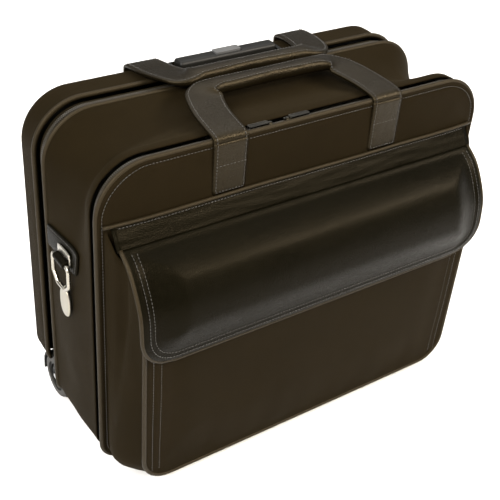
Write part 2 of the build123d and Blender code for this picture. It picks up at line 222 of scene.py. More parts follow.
def sheetPiece(name, rows, finish, thickness, closed=False, skip=None, panel=False, facing=None, offset=-1.0):
    # grid of points made a sheet with a thickness; a panel has its middle closed first
    piece = gridPiece(name, rows, finish, closed, skip)
    if panel:
        closePanel(piece)
    mendNormals(piece, panelWeld if panel else 0.0)
    if facing:
        axis, way = "xyz".index(facing[0]), facing[1]
        if sum(p.normal[axis] * p.area for p in piece.data.polygons) * way < 0:
            piece.data.flip_normals()
    return bulkOut(piece, thickness, offset)


def settle(piece, body, slot, *nodes):
    # hand a finished piece to its body
    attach(piece, body)
    if nodes:
        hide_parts(*nodes)
    return piece


# material kit

class Wire:
    # stands for a socket, so that sums on it add their nodes

    def __init__(self, tree, socket):
        self.tree = tree
        self.socket = socket

    def maths(self, operation, first, second=None):
        node = self.tree.nodes.new("ShaderNodeMath")
        node.operation = operation
        for slot, value in enumerate((first, second)):
            if isinstance(value, Wire):
                self.tree.links.new(value.socket, node.inputs[slot])
            elif value is not None:
                node.inputs[slot].default_value = value
        return Wire(self.tree, node.outputs[0])

    def __add__(self, other):
        return self.maths("ADD", self, other)

    def __sub__(self, other):
        return self.maths("SUBTRACT", self, other)

    def __rsub__(self, other):
        return self.maths("SUBTRACT", other, self)

    def __mul__(self, other):
        return self.maths("MULTIPLY", self, other)

    def __truediv__(self, other):
        return self.maths("DIVIDE", self, other)

    def __pow__(self, other):
        return self.maths("POWER", self, other)

    __radd__ = __add__
    __rmul__ = __mul__

    def sine(self):
        return self.maths("SINE", self)

    def size(self):
        return self.maths("ABSOLUTE", self)


class Finish:
    # one material, with its shader and a single way to add nodes

    def __init__(self, name):
        self.material = bpy.data.materials.new(name)
        self.material.use_nodes = True
        self.tree = self.material.node_tree
        self.shader = self.tree.nodes["Principled BSDF"]

    def put(self, kind, sockets=None, out=0, **settings):
        node = self.tree.nodes.new("ShaderNode" + kind)
        for key, value in settings.items():
            if key == "stops":
                fillRamp(node.color_ramp, value)
            else:
                setattr(node, key, value)
        for key, value in (sockets or {}).items():
            if isinstance(value, Wire):
                self.tree.links.new(value.socket, node.inputs[key])
            else:
                node.inputs[key].default_value = value
        return Wire(self.tree, node.outputs[out])

    def feed(self, **sockets):
        # feed(Base_Color=...) drives a shader socket; plain values are set on it
        for key, value in sockets.items():
            socket = self.shader.inputs[key.replace("_", " ")]
            if isinstance(value, Wire):
                self.tree.links.new(value.socket, socket)
            else:
                socket.default_value = value
        return self

    def bump(self, height, strength, distance, under=None):
        sockets = {"Height": height, "Strength": strength, "Distance": distance}
        if under:
            sockets["Normal"] = under
        return self.put("Bump", sockets)

    def colours(self, amount, dark, light):
        sockets = {0: amount, 6: (*dark, 1), 7: (*light, 1)}
        return self.put("Mix", sockets, out=2, data_type="RGBA", clamp_factor=True)

    def spot(self):
        return self.put("TexCoord", out=3)

    def clothMap(self):
        uv = self.put("UVMap", uv_map="cloth")
        return self.put("SeparateXYZ", {"Vector": uv}), self.put("SeparateXYZ", {"Vector": uv}, out=1)

    def cloudy(self, scale, detail=3.0, rough=0.55):
        sockets = {"Vector": self.spot(), "Scale": scale, "Detail": detail, "Roughness": rough}
        return self.put("TexNoise", sockets)


def fillRamp(ramp, stops):
    while len(ramp.elements) < len(stops):
        ramp.elements.new(0.5)
    for element, (position, value) in zip(ramp.elements, stops):
        element.position = position
        element.color = (value, value, value, 1)


def wovenFinish(name, dark, light, pitch=0.0011, depth=0.00022, rough=0.7, sheen=0.015, tint=(0.85, 0.68, 0.42)):
    # basket weave on the cloth map, with a fuzzy sheen and slow shade changes
    f = Finish(name)
    u, v = f.clothMap()
    turn = math.pi / pitch
    across = (u * turn).sine().size() ** 0.6
    down = (v * turn).sine().size() ** 0.6
    side = (u * (turn / 2)).sine() * (v * (turn / 2)).sine()
    over = f.put("MapRange", {"Value": side, "From Min": -0.12, "From Max": 0.12})
    weave = over * across * (0.55 + 0.45 * down) + (1 - over) * down * (0.55 + 0.45 * across)
    shade = f.cloudy(9, 3)
    fibre = f.cloudy(900, 2)
    mottle = f.cloudy(60, 4)
    mix = weave * 0.35 + shade * 0.45 + fibre * 0.2 + mottle * 0.25 - 0.12
    f.feed(Base_Color=f.colours(mix, dark, light), Roughness=rough + 0.18 * (fibre - 0.5))
    fold = f.bump(f.cloudy(22, 3), 0.25, 0.003)
    f.feed(Normal=f.bump(weave + 0.3 * fibre, 0.75, depth, fold))
    f.feed(Sheen_Weight=sheen, Sheen_Roughness=0.45, Sheen_Tint=(*tint, 1))
    f.feed(Specular_Tint=(*tint, 1), Specular_IOR_Level=0.03)
    return f.material


def leatherFinish(name, dark, light, rough=0.36, grain=620.0, tint=(1.0, 0.85, 0.62), shine=0.16):
    # pebbled hide: small cells with creases between, painted darker in the creases as shade and lighter on the cell
    # tops
    f = Finish(name)
    spot = f.spot()
    warp = f.put("TexNoise", {"Vector": spot, "Scale": 70.0, "Detail": 2.0}, out=1)
    shifted = f.put("VectorMath", {0: warp, "Scale": 0.004}, operation="SCALE")
    bent = f.put("VectorMath", {0: spot, 1: shifted}, operation="ADD")
    cell = f.put("TexVoronoi", {"Vector": bent, "Scale": grain, "Randomness": 0.9}, feature="DISTANCE_TO_EDGE")
    pebble = f.put("MapRange", {"Value": cell, "From Min": 0.0, "From Max": 0.22})
    large = f.cloudy(14, 3)
    fine = f.cloudy(1800, 2)
    crease = f.cloudy(120, 5, 0.7)
    # colour follows the pebble and crease heights: the low creases are painted darker as shade, large adds a slow
    # random tone
    mix = pebble * 0.3 + large * 0.5 + crease * 0.3 - 0.15
    f.feed(Base_Color=f.colours(mix, dark, light))
    f.feed(Roughness=rough + 0.16 * (1 - pebble) + 0.22 * (large - 0.5) + 0.08 * (crease - 0.5))
    slow = f.bump(f.cloudy(26, 2), 0.3, 0.0016)
    folded = f.bump(crease, 0.35, 0.0006, slow)
    f.feed(Normal=f.bump(pebble + 0.25 * fine, 0.5, 0.00016, folded))
    f.feed(Specular_Tint=(*tint, 1), Specular_IOR_Level=shine)
    return f.material


def plasticFinish(name, dark, light, rough=0.45, grain=1400.0):
    f = Finish(name)
    speck = f.cloudy(grain, 2)
    wear = f.cloudy(40, 4)
    f.feed(Base_Color=f.colours(wear * 0.8 + speck * 0.2, dark, light))
    f.feed(Roughness=rough + 0.2 * (wear - 0.5), Specular_IOR_Level=0.18)
    f.feed(Normal=f.bump(speck, 0.35, 0.00012))
    return f.material


def metalFinish(name, colour, rough=0.3, streak=(3.0, 900.0, 900.0)):
    f = Finish(name)
    turned = f.put("Mapping", {"Vector": f.spot(), "Scale": streak})
    lines = f.put("TexNoise", {"Vector": turned, "Scale": 1.0, "Detail": 3.0})
    smear = f.cloudy(60, 4)
    darker = [c * 0.72 for c in colour]
    f.feed(Base_Color=f.colours(smear * 0.7 + lines * 0.4, darker, colour))
    f.feed(Roughness=rough + 0.22 * (lines - 0.5) + 0.2 * (smear - 0.5), Metallic=1.0)
    f.feed(Normal=f.bump(lines, 0.2, 0.00006))
    return f.material


def rubberFinish(name):
    f = Finish(name)
    dust = f.cloudy(50, 5)
    grain = f.cloudy(1500, 2)
    f.feed(Base_Color=f.colours(dust, (0.012, 0.011, 0.01), (0.05, 0.045, 0.038)))
    f.feed(Roughness=0.62 + 0.25 * (dust - 0.5), Specular_IOR_Level=0.35)
    f.feed(Normal=f.bump(grain + 0.8 * dust, 0.4, 0.0002))
    return f.material


def threadFinish(name, colour):
    f = Finish(name)
    sockets = {"Vector": f.spot(), "Scale": 900.0, "Distortion": 1.0}
    twist = f.put("TexWave", sockets, bands_direction="DIAGONAL")
    f.feed(Base_Color=f.colours(twist, [c * 0.5 for c in colour], colour), Roughness=0.6)
    f.feed(Normal=f.bump(twist, 0.5, 0.0001), Sheen_Weight=0.3)
    return f.material


def pileFinish(name, dark, light):
    f = Finish(name)
    tuft = f.put("TexVoronoi", {"Vector": f.spot(), "Scale": 1100.0})
    f.feed(Base_Color=f.colours(tuft + 0.2 * f.cloudy(300), dark, light), Roughness=0.9)
    f.feed(Normal=f.bump(tuft, 0.9, 0.0005), Sheen_Weight=0.4)
    return f.material


def paperFinish(name):
    f = Finish(name)
    f.feed(Base_Color=(0.8, 0.8, 0.8, 1), Roughness=1.0, Specular_IOR_Level=0.0)
    return f.material


def toothFinish(name):
    f = Finish(name)
    worn = f.cloudy(500, 3)
    f.feed(Base_Color=f.colours(worn, (0.015, 0.013, 0.01), (0.06, 0.052, 0.04)))
    f.feed(Roughness=0.34 + 0.2 * worn, Normal=f.bump(worn, 0.2, 0.0001))
    return f.material


finishes = {
    "cloth": wovenFinish("ballisticCloth", (0.0036, 0.0025, 0.0010), (0.0112, 0.0077, 0.0034)),
    "lining": wovenFinish(
        "liningCloth", (0.035, 0.032, 0.028), (0.085, 0.078, 0.066), 0.0007, 0.0001, 0.7, 0.2, (1, 1, 1)),
    "tape": wovenFinish("zipTape", (0.003, 0.0022, 0.001), (0.009, 0.0066, 0.003), 0.0006, 0.0001),
    "leather": leatherFinish(
        "blackLeather", (0.0010, 0.0009, 0.0004), (0.0036, 0.0030, 0.0013), 0.25, 620.0, (1.0, 0.82, 0.55), 0.045),
    "strapLeather": leatherFinish(
        "strapLeather", (0.0022, 0.0016, 0.0007), (0.0082, 0.0058, 0.0024), 0.28, 700.0, (1.0, 0.80, 0.50), 0.19),
    "binding": leatherFinish("boundEdge", (0.007, 0.005, 0.0022), (0.024, 0.0175, 0.009), 0.42, 900.0),
    "plastic": plasticFinish("blackPlastic", (0.0025, 0.0024, 0.002), (0.009, 0.0085, 0.007)),
    "gunmetal": metalFinish("gunmetal", (0.10, 0.092, 0.075), 0.24),
    "button": plasticFinish("buttonPlastic", (0.05, 0.05, 0.05), (0.1, 0.1, 0.1), 0.3),
    "nickel": metalFinish("nickel", (0.40, 0.375, 0.32), 0.28),
    "steel": metalFinish("turnedSteel", (0.5, 0.5, 0.5), 0.32, (900.0, 3.0, 900.0)),
    "tube": metalFinish("tubeAluminium", (0.52, 0.52, 0.53), 0.33, (900.0, 900.0, 3.0)),
    "rubber": rubberFinish("tyreRubber"),
    "thread": threadFinish("thread", (0.014, 0.010, 0.005)),
    "teeth": toothFinish("zipTeeth"),
    "pile": pileFinish("hookPile", (0.008, 0.008, 0.008), (0.03, 0.03, 0.03)),
    "tag": metalFinish("tagMetal", (0.40, 0.375, 0.31), 0.42, (400.0, 400.0, 400.0)),
    "paper": paperFinish("paleFloor"),
}
print("finishes made:", len(finishes))


# fabric walls that follow the outline of the case

wheelRoom = {
    "near": low("wheel_housing_right", "x") - 0.8 * mm,
    "far": place["halfWidth"] - 3 * mm,
    "top": high("wheel_housing_right", "z") + 0.8 * mm,
    "front": low("wheel_housing_right", "y") - 4 * mm,
    "back": high("wheel_housing_right", "y") + 0.8 * mm,
}
bezelRoom = {
    "half": high("trolley_bezel", "x") + 0.2 * mm,
    "front": low("trolley_bezel", "y") - 0.2 * mm,
    "back": high("trolley_bezel", "y") + 0.2 * mm,
}
cornerReach = 85 * mm  # how far from an upper corner the cloth still gives


def caseLoop(inset, floor):
    # outline seen from the front, always with the same number of points
    half, top = place["halfWidth"] - inset, place["top"] - inset
    bottom = floor + inset
    upX = min(place["halfWidth"] - place["topRadius"], half)
    upZ = min(place["top"] - place["topRadius"], top)
    lowX = min(place["halfWidth"] - place["bottomRadius"], half)
    lowZ = max(floor + place["bottomRadius"], bottom)
    upR = max(place["topRadius"] - inset, 0.0)
    lowR = max(place["bottomRadius"] - inset, 0.0)
    notch = min(wheelRoom["near"], lowX)
    hole = min(bezelRoom["half"], upX)
    side = math.acos(min(1.0, (wheelRoom["far"] - lowX) / place["bottomRadius"])) if lowR else 0.5
    right = [(x, bottom) for x in along(0, notch, 26)[1:] + along(notch, lowX, 3)[1:]]
    for a in along(-math.pi / 2, -side, 7)[1:] + along(-side, 0, 4)[1:]:
        right.append((lowX + lowR * math.cos(a), lowZ + lowR * math.sin(a)))
    right += [(half, z) for z in along(lowZ, upZ, 34)[1:]]
    right += [(upX + upR * math.cos(a), upZ + upR * math.sin(a)) for a in along(0, math.pi / 2, 16)[1:]]
    right += [(x, top) for x in along(upX, hole, 16)[1:] + along(hole, 0, 10)[1:]]
    left = [(-x, z) for x, z in reversed(right[:-1])]
    return [(0.0, bottom)] + right + left


def cornerPull(x, z):
    # how near a point is to an upper corner
    return dent(math.hypot(place["halfWidth"] - abs(x), place["top"] - z), cornerReach)


def wander(x, y, z, scale, seed):
    return noise.noise(Vector((x * scale + seed, y * scale, z * scale)))


def wallRows(profile, floor, shift=None):
    # profile holds (depth, inset, softness); shift moves a soft point inwards
    heart = 60 * mm
    rows = []
    for y, inset, soft in profile:
        row = []
        for x, z in caseLoop(inset, floor):
            cx = max(-place["halfWidth"] + heart, min(place["halfWidth"] - heart, x))
            cz = max(floor + heart, min(place["top"] - heart, z))
            inward = Vector((cx - x, 0, cz - z))
            inward = inward.normalized() if inward.length > 1e-6 else Vector((0, 0, 0))
            push = shift(x, y, z) * soft if soft else 0.0
            row.append(Vector((x, y, z)) + inward * push)
        rows.append(row)
    return rows


def turnedEdge(y, inwards, lip):
    # folded lip of a wall, from its raw edge to its corner
    return [(y + inwards * 1.6 * mm, lip, 0), (y + inwards * 0.4 * mm, 1.2 * mm, 0), (y, 0.4 * mm, 0)]


def faceMiddle(points):
    # distance from the middle plane, depth and height of a face
    count = len(points)
    return sum(abs(p.x) for p in points) / count, sum(p.y for p in points) / count, sum(p.z for p in points) / count


def nearWheel(points, front, back):
    x, y, z = faceMiddle(points)
    return wheelRoom["near"] < x < wheelRoom["far"] and z < wheelRoom["top"] and front < y < back


rearSkin = {
    "roundBack": 8 * mm, "lip": 3 * mm, "thickness": 2.4 * mm, "bulge": 1.6 * mm, "wrinkle": 0.9 * mm,
    "rings": (11, 16, 24, 36, 52, 75, 100),
}


def makeRearSkin():
    front, back = place["rearFront"], place["rearBack"]
    r = rearSkin["roundBack"]
    stops = [front + 2 * mm, front + 5 * mm, bezelRoom["front"], bezelRoom["front"] + 7 * mm, wheelRoom["back"]]
    profile = turnedEdge(front, 1, rearSkin["lip"])
    profile += [(y, 0.0, 1.0 if 1 < i < 4 else 0.2) for i, y in enumerate(stops)]
    profile.append((back - r, 0.0, 0.2))
    for a in along(0, math.pi / 2, 6)[1:]:
        profile.append((back - r + r * math.sin(a), r - r * math.cos(a), 0))
    profile += [(back, inset * mm, 0) for inset in rearSkin["rings"]]

    def shift(x, y, z):
        if z > place["top"] - 6 * mm and abs(x) < bezelRoom["half"] + 12 * mm:
            return 0.0  # flat round the trolley bezel
        ripple = wander(x, y, z, 14, 3.0) * rearSkin["wrinkle"] + wander(x, y, z, 45, 9.0) * 0.4 * mm
        return -rearSkin["bulge"] * 0.6 + ripple + 2.0 * mm * cornerPull(x, z)

    def skip(quad):
        x, y, z = faceMiddle(quad)
        hole = z > place["top"] - 4 * mm and x < bezelRoom["half"] and bezelRoom["front"] < y < bezelRoom["back"]
        return hole or nearWheel(quad, place["rearFront"] - 1, wheelRoom["back"])

    rows = wallRows(profile, place["rearFloor"], shift)
    skin = sheetPiece("rearSkin", rows, "cloth", rearSkin["thickness"], closed=True, skip=skip, panel=True)
    settle(skin, "case", "ballistic_cloth", "rear_shell")


gusset = {
    "lip": 3 * mm, "thickness": 2.4 * mm, "sag": 25 * mm, "topSag": 5 * mm, "sideBulge": 2.6 * mm,
    "wrinkle": 1.5 * mm, "fold": 5 * mm, "stripInset": 3.4 * mm, "stripThick": 1.6 * mm,
}


def gussetShift(x, y, z):
    # the wall between the two seams: it falls in at the upper corners and swells at the sides
    t = (place["mainBack"] - 6 * mm - y) / (place["mainBack"] - place["mainFront"] - 14 * mm)
    belly = math.sin(math.pi * max(0.0, min(1.0, t)))
    corner = cornerPull(x, z)
    onTop = blendStep(place["top"] - 30 * mm, place["top"] - 5 * mm, z)
    side = (1 - onTop) * (1 - corner) * blendStep(30 * mm, 100 * mm, z)
    fold = dent(t - 0.62, 0.13) * corner * gusset["fold"]
    ripple = wander(x, y, z, 13, 21.0) * gusset["wrinkle"] + wander(x, y, z, 38, 5.0) * 0.7 * mm
    inward = gusset["sag"] * corner + gusset["topSag"] * onTop * (1 - corner) - gusset["sideBulge"] * side
    return belly * (inward + ripple + fold) + (ripple * 0.2 if 0 < t < 1 else 0)


def makeGusset():
    back, front = place["mainBack"], place["mainFront"]
    profile = turnedEdge(back, -1, gusset["lip"]) + [(back - 1.5 * mm, 0, 0)]
    profile += [(y, 0, 1) for y in along(back - 5 * mm, wheelRoom["front"], 4)]
    profile += [(y, 0, 1) for y in along(wheelRoom["front"], front + 4 * mm, 17)[1:]]
    profile += [(front + 1.5 * mm, 0, 0)] + turnedEdge(front, 1, gusset["lip"])[::-1]
    rows = wallRows(profile, place["mainFloor"], gussetShift)
    skip = lambda quad: nearWheel(quad, wheelRoom["front"], 1)
    wall = sheetPiece("mainGusset", rows, "cloth", gusset["thickness"], closed=True, skip=skip)
    settle(wall, "main_section", "ballistic_cloth", "main_gusset")
    depths = along(high("main_stiffener", "y"), low("main_stiffener", "y"), 4)
    inner = wallRows([(y, gusset["stripInset"], 1) for y in depths], place["mainFloor"], gussetShift)
    stiff = sheetPiece("mouthStiffener", inner, "plastic", gusset["stripThick"], closed=True)
    settle(stiff, "main_section", "black_plastic", "main_stiffener")


def cordPiece(name, path, radius, body, *nodes, slot="edge_cord", finish="binding", closed=False, sides=10):
    # round cord along a path of points, as one welded tube on its body
    rows = []
    count = len(path)
    last = None
    for i, p in enumerate(path):
        before = path[i - 1] if closed or i else p
        after = path[(i + 1) % count] if closed or i < count - 1 else p
        ahead = (after - before).normalized()
        up = last if last else (Vector((0, 1, 0)) if abs(ahead.y) < 0.9 else Vector((1, 0, 0)))
        across = ahead.cross(up).normalized()
        last = across.cross(ahead).normalized()
        turns = [2 * math.pi * s / sides for s in range(sides)]
        rows.append([p + across * (radius * math.cos(a)) + last * (radius * math.sin(a)) for a in turns])
    if closed:
        rows.append([q.copy() for q in rows[0]])
    else:
        rows.insert(0, [path[0].copy()] * sides)
        rows.append([path[-1].copy()] * sides)
    cord = mendNormals(gridPiece(name, rows, finish, closed=True), cordWeld)
    return settle(cord, body, slot, *nodes)


def outlinePath(y, inset, floor):
    return [Vector((x, y, z)) for x, z in caseLoop(inset, floor)]


piping = {"radius": 2.35 * mm, "stand": 0.1 * mm, "underShare": 0.9}


def makePiping(name, body, node, floor):
    # bound cord at a seam; over a wheel it is left open like the wall it edges
    path = outlinePath(middle(node, "y"), -piping["stand"], floor)
    if body == "front_lid":
        cordPiece(name, path, piping["radius"], body, node, closed=True)
        return
    atWheel = lambda p: wheelRoom["near"] < abs(p.x) < wheelRoom["far"] and p.z < wheelRoom["top"]
    upper = [p for p in path if p.z > floor + 12 * mm and not atWheel(p)]
    lower = [p for p in path if p.z <= floor + 1 * mm and abs(p.x) < wheelRoom["near"]]
    upper.sort(key=lambda p: math.atan2(p.x, p.z - 180 * mm))
    lower.sort(key=lambda p: p.x)
    cordPiece(name, upper, piping["radius"], body, node)
    cordPiece(name + "Under", lower, piping["radius"] * piping["underShare"], body)


makeRearSkin()
makeGusset()
makePiping("rearPiping", "case", "rear_piping", place["rearFloor"])
makePiping("mainPiping", "main_section", "main_piping", place["mainFloor"])
makePiping("frontPiping", "front_lid", "front_piping", place["mainFloor"])
print("walls and piping made")


# repeats by geometry nodes: stitches and zip teeth

def repeatTree(name, shape):
    # spaced copies of a small shape along a line
    tree = bpy.data.node_groups.new(name, "GeometryNodeTree")
    face = tree.interface
    face.new_socket(name="Line", in_out="INPUT", socket_type="NodeSocketGeometry")
    for key in ("Spacing", "Length", "Width", "Height"):
        face.new_socket(name=key, in_out="INPUT", socket_type="NodeSocketFloat").default_value = 1 * mm
    face.new_socket(name="Finish", in_out="INPUT", socket_type="NodeSocketMaterial")
    face.new_socket(name="Pieces", in_out="OUTPUT", socket_type="NodeSocketGeometry")
    start = tree.nodes.new("NodeGroupInput").outputs
    end = tree.nodes.new("NodeGroupOutput")

    def add(kind, **links):
        node = tree.nodes.new(kind)
        for key, source in links.items():
            tree.links.new(source, node.inputs[key])
        return node

    resample = tree.nodes.new("GeometryNodeResampleCurve")
    resample.mode = "LENGTH"
    tree.links.new(start["Line"], resample.inputs["Curve"])
    tree.links.new(start["Spacing"], resample.inputs["Length"])
    tangent = add("GeometryNodeInputTangent")
    turn = add("FunctionNodeAlignRotationToVector", Vector=tangent.outputs["Tangent"])
    turn.axis = "X"
    size = add("ShaderNodeCombineXYZ", X=start["Length"], Y=start["Width"], Z=start["Height"])
    if shape == "bead":
        unit = add("GeometryNodeMeshUVSphere")
        unit.inputs["Segments"].default_value = 8
        unit.inputs["Rings"].default_value = 5
        unit.inputs["Radius"].default_value = 0.5
    else:
        unit = add("GeometryNodeMeshCube")
        turn.pivot_axis = "Y"
    spread = add(
        "GeometryNodeInstanceOnPoints", Points=resample.outputs["Curve"], Instance=unit.outputs["Mesh"],
        Rotation=turn.outputs["Rotation"], Scale=size.outputs["Vector"])
    real = add("GeometryNodeRealizeInstances", Geometry=spread.outputs["Instances"])
    coat = add("GeometryNodeSetMaterial", Geometry=real.outputs["Geometry"], Material=start["Finish"])
    tree.links.new(coat.outputs["Geometry"], end.inputs["Pieces"])
    return tree


stitchTree = repeatTree("stitchesAlongLine", "bead")
toothTree = repeatTree("teethAlongLine", "block")


def repeatAlong(name, paths, tree, body, slot, finish, closed=False, **sizes):
    # runs a tree on the paths and keeps the result as one plain mesh
    curve = bpy.data.curves.new(name + "Line", "CURVE")
    curve.dimensions = "3D"
    for path in paths:
        spline = curve.splines.new("POLY")
        spline.points.add(len(path) - 1)
        for point, p in zip(spline.points, path):
            point.co = (*p, 1)
        spline.use_cyclic_u = closed
    line = bpy.data.objects.new(name + "Line", curve)
    bpy.context.scene.collection.objects.link(line)
    modifier = line.modifiers.new("repeat", "NODES")
    modifier.node_group = tree
    values = dict(sizes, Finish=finishes[finish])
    for item in tree.interface.items_tree:
        if item.in_out == "INPUT" and item.name in values:
            modifier[item.identifier] = values[item.name]
    graph = bpy.context.evaluated_depsgraph_get()
    mesh = bpy.data.meshes.new_from_object(line.evaluated_get(graph), depsgraph=graph)
    bpy.data.objects.remove(line)
    if not mesh.materials:
        mesh.materials.append(finishes[finish])
    mesh.polygons.foreach_set("use_smooth", [tree is stitchTree] * len(mesh.polygons))
    piece = bpy.data.objects.new(name, mesh)
    bpy.context.scene.collection.objects.link(piece)
    return settle(piece, body, slot)


stitch = {"Spacing": 3.4 * mm, "Length": 2.5 * mm, "Width": 0.75 * mm, "Height": 0.6 * mm}
tooth = {"Spacing": 1.9 * mm, "Length": 1.0 * mm, "Width": 2.1 * mm, "Height": 1.1 * mm}
toothRow = 1.15 * mm  # from the middle of a zip to either row of teeth


def makeStitches(name, body, slot, paths, closed=False):
    return repeatAlong(name, paths, stitchTree, body, slot, "thread", closed, **stitch)


def makeTeeth(name, body, node, floor):
    # teeth on the raised coil of one zip half
    rearMeet = (place["rearFront"] + place["mainBack"]) / 2
    lidMeet = (place["mainFront"] + place["lidBack"]) / 2
    tapeY = middle(node, "y")
    meet = rearMeet if tapeY > place["mainBack"] else lidMeet
    y = meet + (toothRow if tapeY > meet else -toothRow)
    inset = place["halfWidth"] - high(node, "x") - 0.1 * mm
    path = [p for p in outlinePath(y, inset, floor) if p.z > wheelRoom["top"] + 4 * mm]
    path.sort(key=lambda p: math.atan2(p.x, p.z - 150 * mm))
    repeatAlong(name, [path], toothTree, body, "zip_tape", "teeth", **tooth)


makeTeeth("rearTeeth", "case", "rear_zip_half", place["rearFloor"])
makeTeeth("mainRearTeeth", "main_section", "main_rear_zip_half", place["mainFloor"])
makeTeeth("mainFrontTeeth", "main_section", "main_front_zip_half", place["mainFloor"])
makeTeeth("lidTeeth", "front_lid", "lid_zip_half", place["mainFloor"])
print("zip teeth made")


# front lid: padded panel, top seam, pocket and flap

lid = {
    "dip": 0.9 * mm, "crown": 1.3 * mm, "thickness": 3.2 * mm, "liningThick": 0.8 * mm, "seamInset": 4.6 * mm,
    "rings": (2.2, 3.4, 4.5, 5.6, 7, 10, 15, 22, 31, 42, 56, 74, 96), "liningRings": (4, 20, 60, 100),
}


def lidFace(x, z):
    # how far the panel's cloth stands forward of its board
    edge = min(place["halfWidth"] - abs(x), place["top"] - z)
    seam = dent(edge - 4.5 * mm, 2.2 * mm) * lid["dip"]
    puff = blendStep(5 * mm, 40 * mm, edge) * lid["crown"]
    ripple = wander(x, 0, z, 17, 2.0) * 0.5 * mm + wander(x, 0, z, 50, 4.0) * 0.2 * mm
    return puff - seam + ripple * blendStep(4 * mm, 14 * mm, edge)


def makePanel():
    back, front, floor = place["lidBack"], place["lidFront"], place["mainFloor"]
    edge = [(back, 4 * mm, 0), (back, 0.6 * mm, 0), (back - 1 * mm, 0, 0), (front + 1 * mm, 0, 0), (front, 0.8 * mm, 0)]
    rows = wallRows(edge + [(front, inset * mm, 0) for inset in lid["rings"]], floor)
    for row in rows[len(edge):]:
        for p in row:
            p.y = front - lidFace(p.x, p.z)
    panel = sheetPiece("frontPanel", rows, "cloth", lid["thickness"], closed=True, panel=True)
    lining = wallRows([(back + 0.1 * mm, inset * mm, 0) for inset in lid["liningRings"]], floor)
    inside = sheetPiece("panelLining", lining, "lining", lid["liningThick"], closed=True, panel=True, offset=1.0)
    settle(inside, "front_lid", "lining")
    settle(panel, "front_lid", "ballistic_cloth", "front_panel")
    seam = [Vector((x, front - lidFace(x, z) - 0.2 * mm, z)) for x, z in caseLoop(lid["seamInset"], floor)]
    makeStitches("panelStitches", "front_lid", "edge_cord", [seam], True)


shelf = {"welt": 1.7 * mm, "weltInset": 4.5 * mm, "drop": 3 * mm, "bow": 1.5 * mm, "thickness": 1.4 * mm}


def makeShelf():
    # dark sloping strip between the panel and the flap, with a folded welt on its upper edge
    top, bottom = high("flap_shelf", "z"), high("flap_cover", "z") - 1 * mm
    back, front = place["lidFront"] - 0.6 * mm, high("flap_cover", "y") - 0.3 * mm
    half = high("flap_shelf", "x") + 3 * mm
    rows = []
    for t in along(0, 1, 12):
        z = mix(top, bottom, t)
        y = mix(back, front, t ** 1.4) - math.sin(math.pi * t) * shelf["bow"]
        rows.append([Vector((x, y + wander(x, t, 0, 20, 7) * 0.6 * mm, z)) for x in along(-half, half, 90)])
    strip = sheetPiece("flapShelf", rows, "leather", shelf["thickness"])
    settle(strip, "front_lid", "black_leather", "flap_shelf")
    edge = place["halfWidth"] - shelf["weltInset"]
    line = []
    for x in along(-edge, edge, 60):
        z = top + wander(x, 0, 0, 9, 1) * 0.8 * mm
        line.append(Vector((x, place["lidFront"] - 1.9 * mm - lidFace(x, top), z)))
    cordPiece("topWelt", line, shelf["welt"], "front_lid")
    lower = [p + Vector((0, -1.2 * mm, -shelf["drop"])) for p in line if abs(p.x) < half - 4 * mm]
    makeStitches("shelfStitches", "front_lid", "edge_cord", [lower])


pocket = {
    "corner": 30 * mm, "swell": 9 * mm, "crown": 3 * mm, "thickness": 2.2 * mm, "cord": 2.2 * mm, "hem": 1.5 * mm,
    "seams": (8.5 * mm, 16.5 * mm), "overhang": 1 * mm,
    "frontHalf": place["halfWidth"] - 22.5 * mm, "backHalf": high("pocket_shell", "x"),
    "frontTop": place["top"] - 114 * mm, "backTop": high("flap_shelf", "z") - 4 * mm,
    "floor": low("pocket_shell", "z"),
}


def pocketEdge(half, top, count=60):
    # U-shaped edge of the pocket, from the left top round the bottom to the right top
    floor, corner = pocket["floor"], pocket["corner"]
    start = [(-half, z) for z in along(top, floor + corner, count // 2)]
    for a in along(0, math.pi / 2, 9)[1:]:
        start.append((-half + corner - corner * math.cos(a), floor + corner - corner * math.sin(a)))
    start += [(x, floor) for x in along(-half + corner, 0, 14)[1:]]
    return start + [(-x, z) for x, z in reversed(start[:-1])]


def pocketPush(t, z):
    # gusset swelling: widest half way out and low down, pinched under the flap
    lowDown = 1 - blendStep(20 * mm, 240 * mm, z)
    crease = dent(t - 0.45, 0.12) * blendStep(90 * mm, 200 * mm, z) * 6 * mm
    return math.sin(math.pi * min(1, t * 1.05)) * (2.0 * mm + pocket["swell"] * lowDown) - crease


def pocketFace(x, z, edge):
    # crowned cloth with a seam furrow along each stitch line and slack ripples by the corners
    furrows = sum(dent(pocket["frontHalf"] - abs(x) - inset, 1.6 * mm) for inset in pocket["seams"])
    settled = 0.15 + 0.85 * blendStep(10 * mm, 75 * mm, pocket["frontTop"] - z)
    puff = pocket["crown"] * blendStep(2 * mm, 60 * mm, edge) * settled
    slack = blendStep(100 * mm, 0.0, edge) * blendStep(2 * mm, 20 * mm, edge)
    ripple = wander(x * 2.2, 0, z * 0.6, 18, 13) * 2.0 * mm * slack + wander(x, 0, z, 12, 6) * 1.0 * mm
    return 0.6 * mm + puff + ripple * blendStep(0, 10 * mm, edge) - furrows * 0.8 * mm


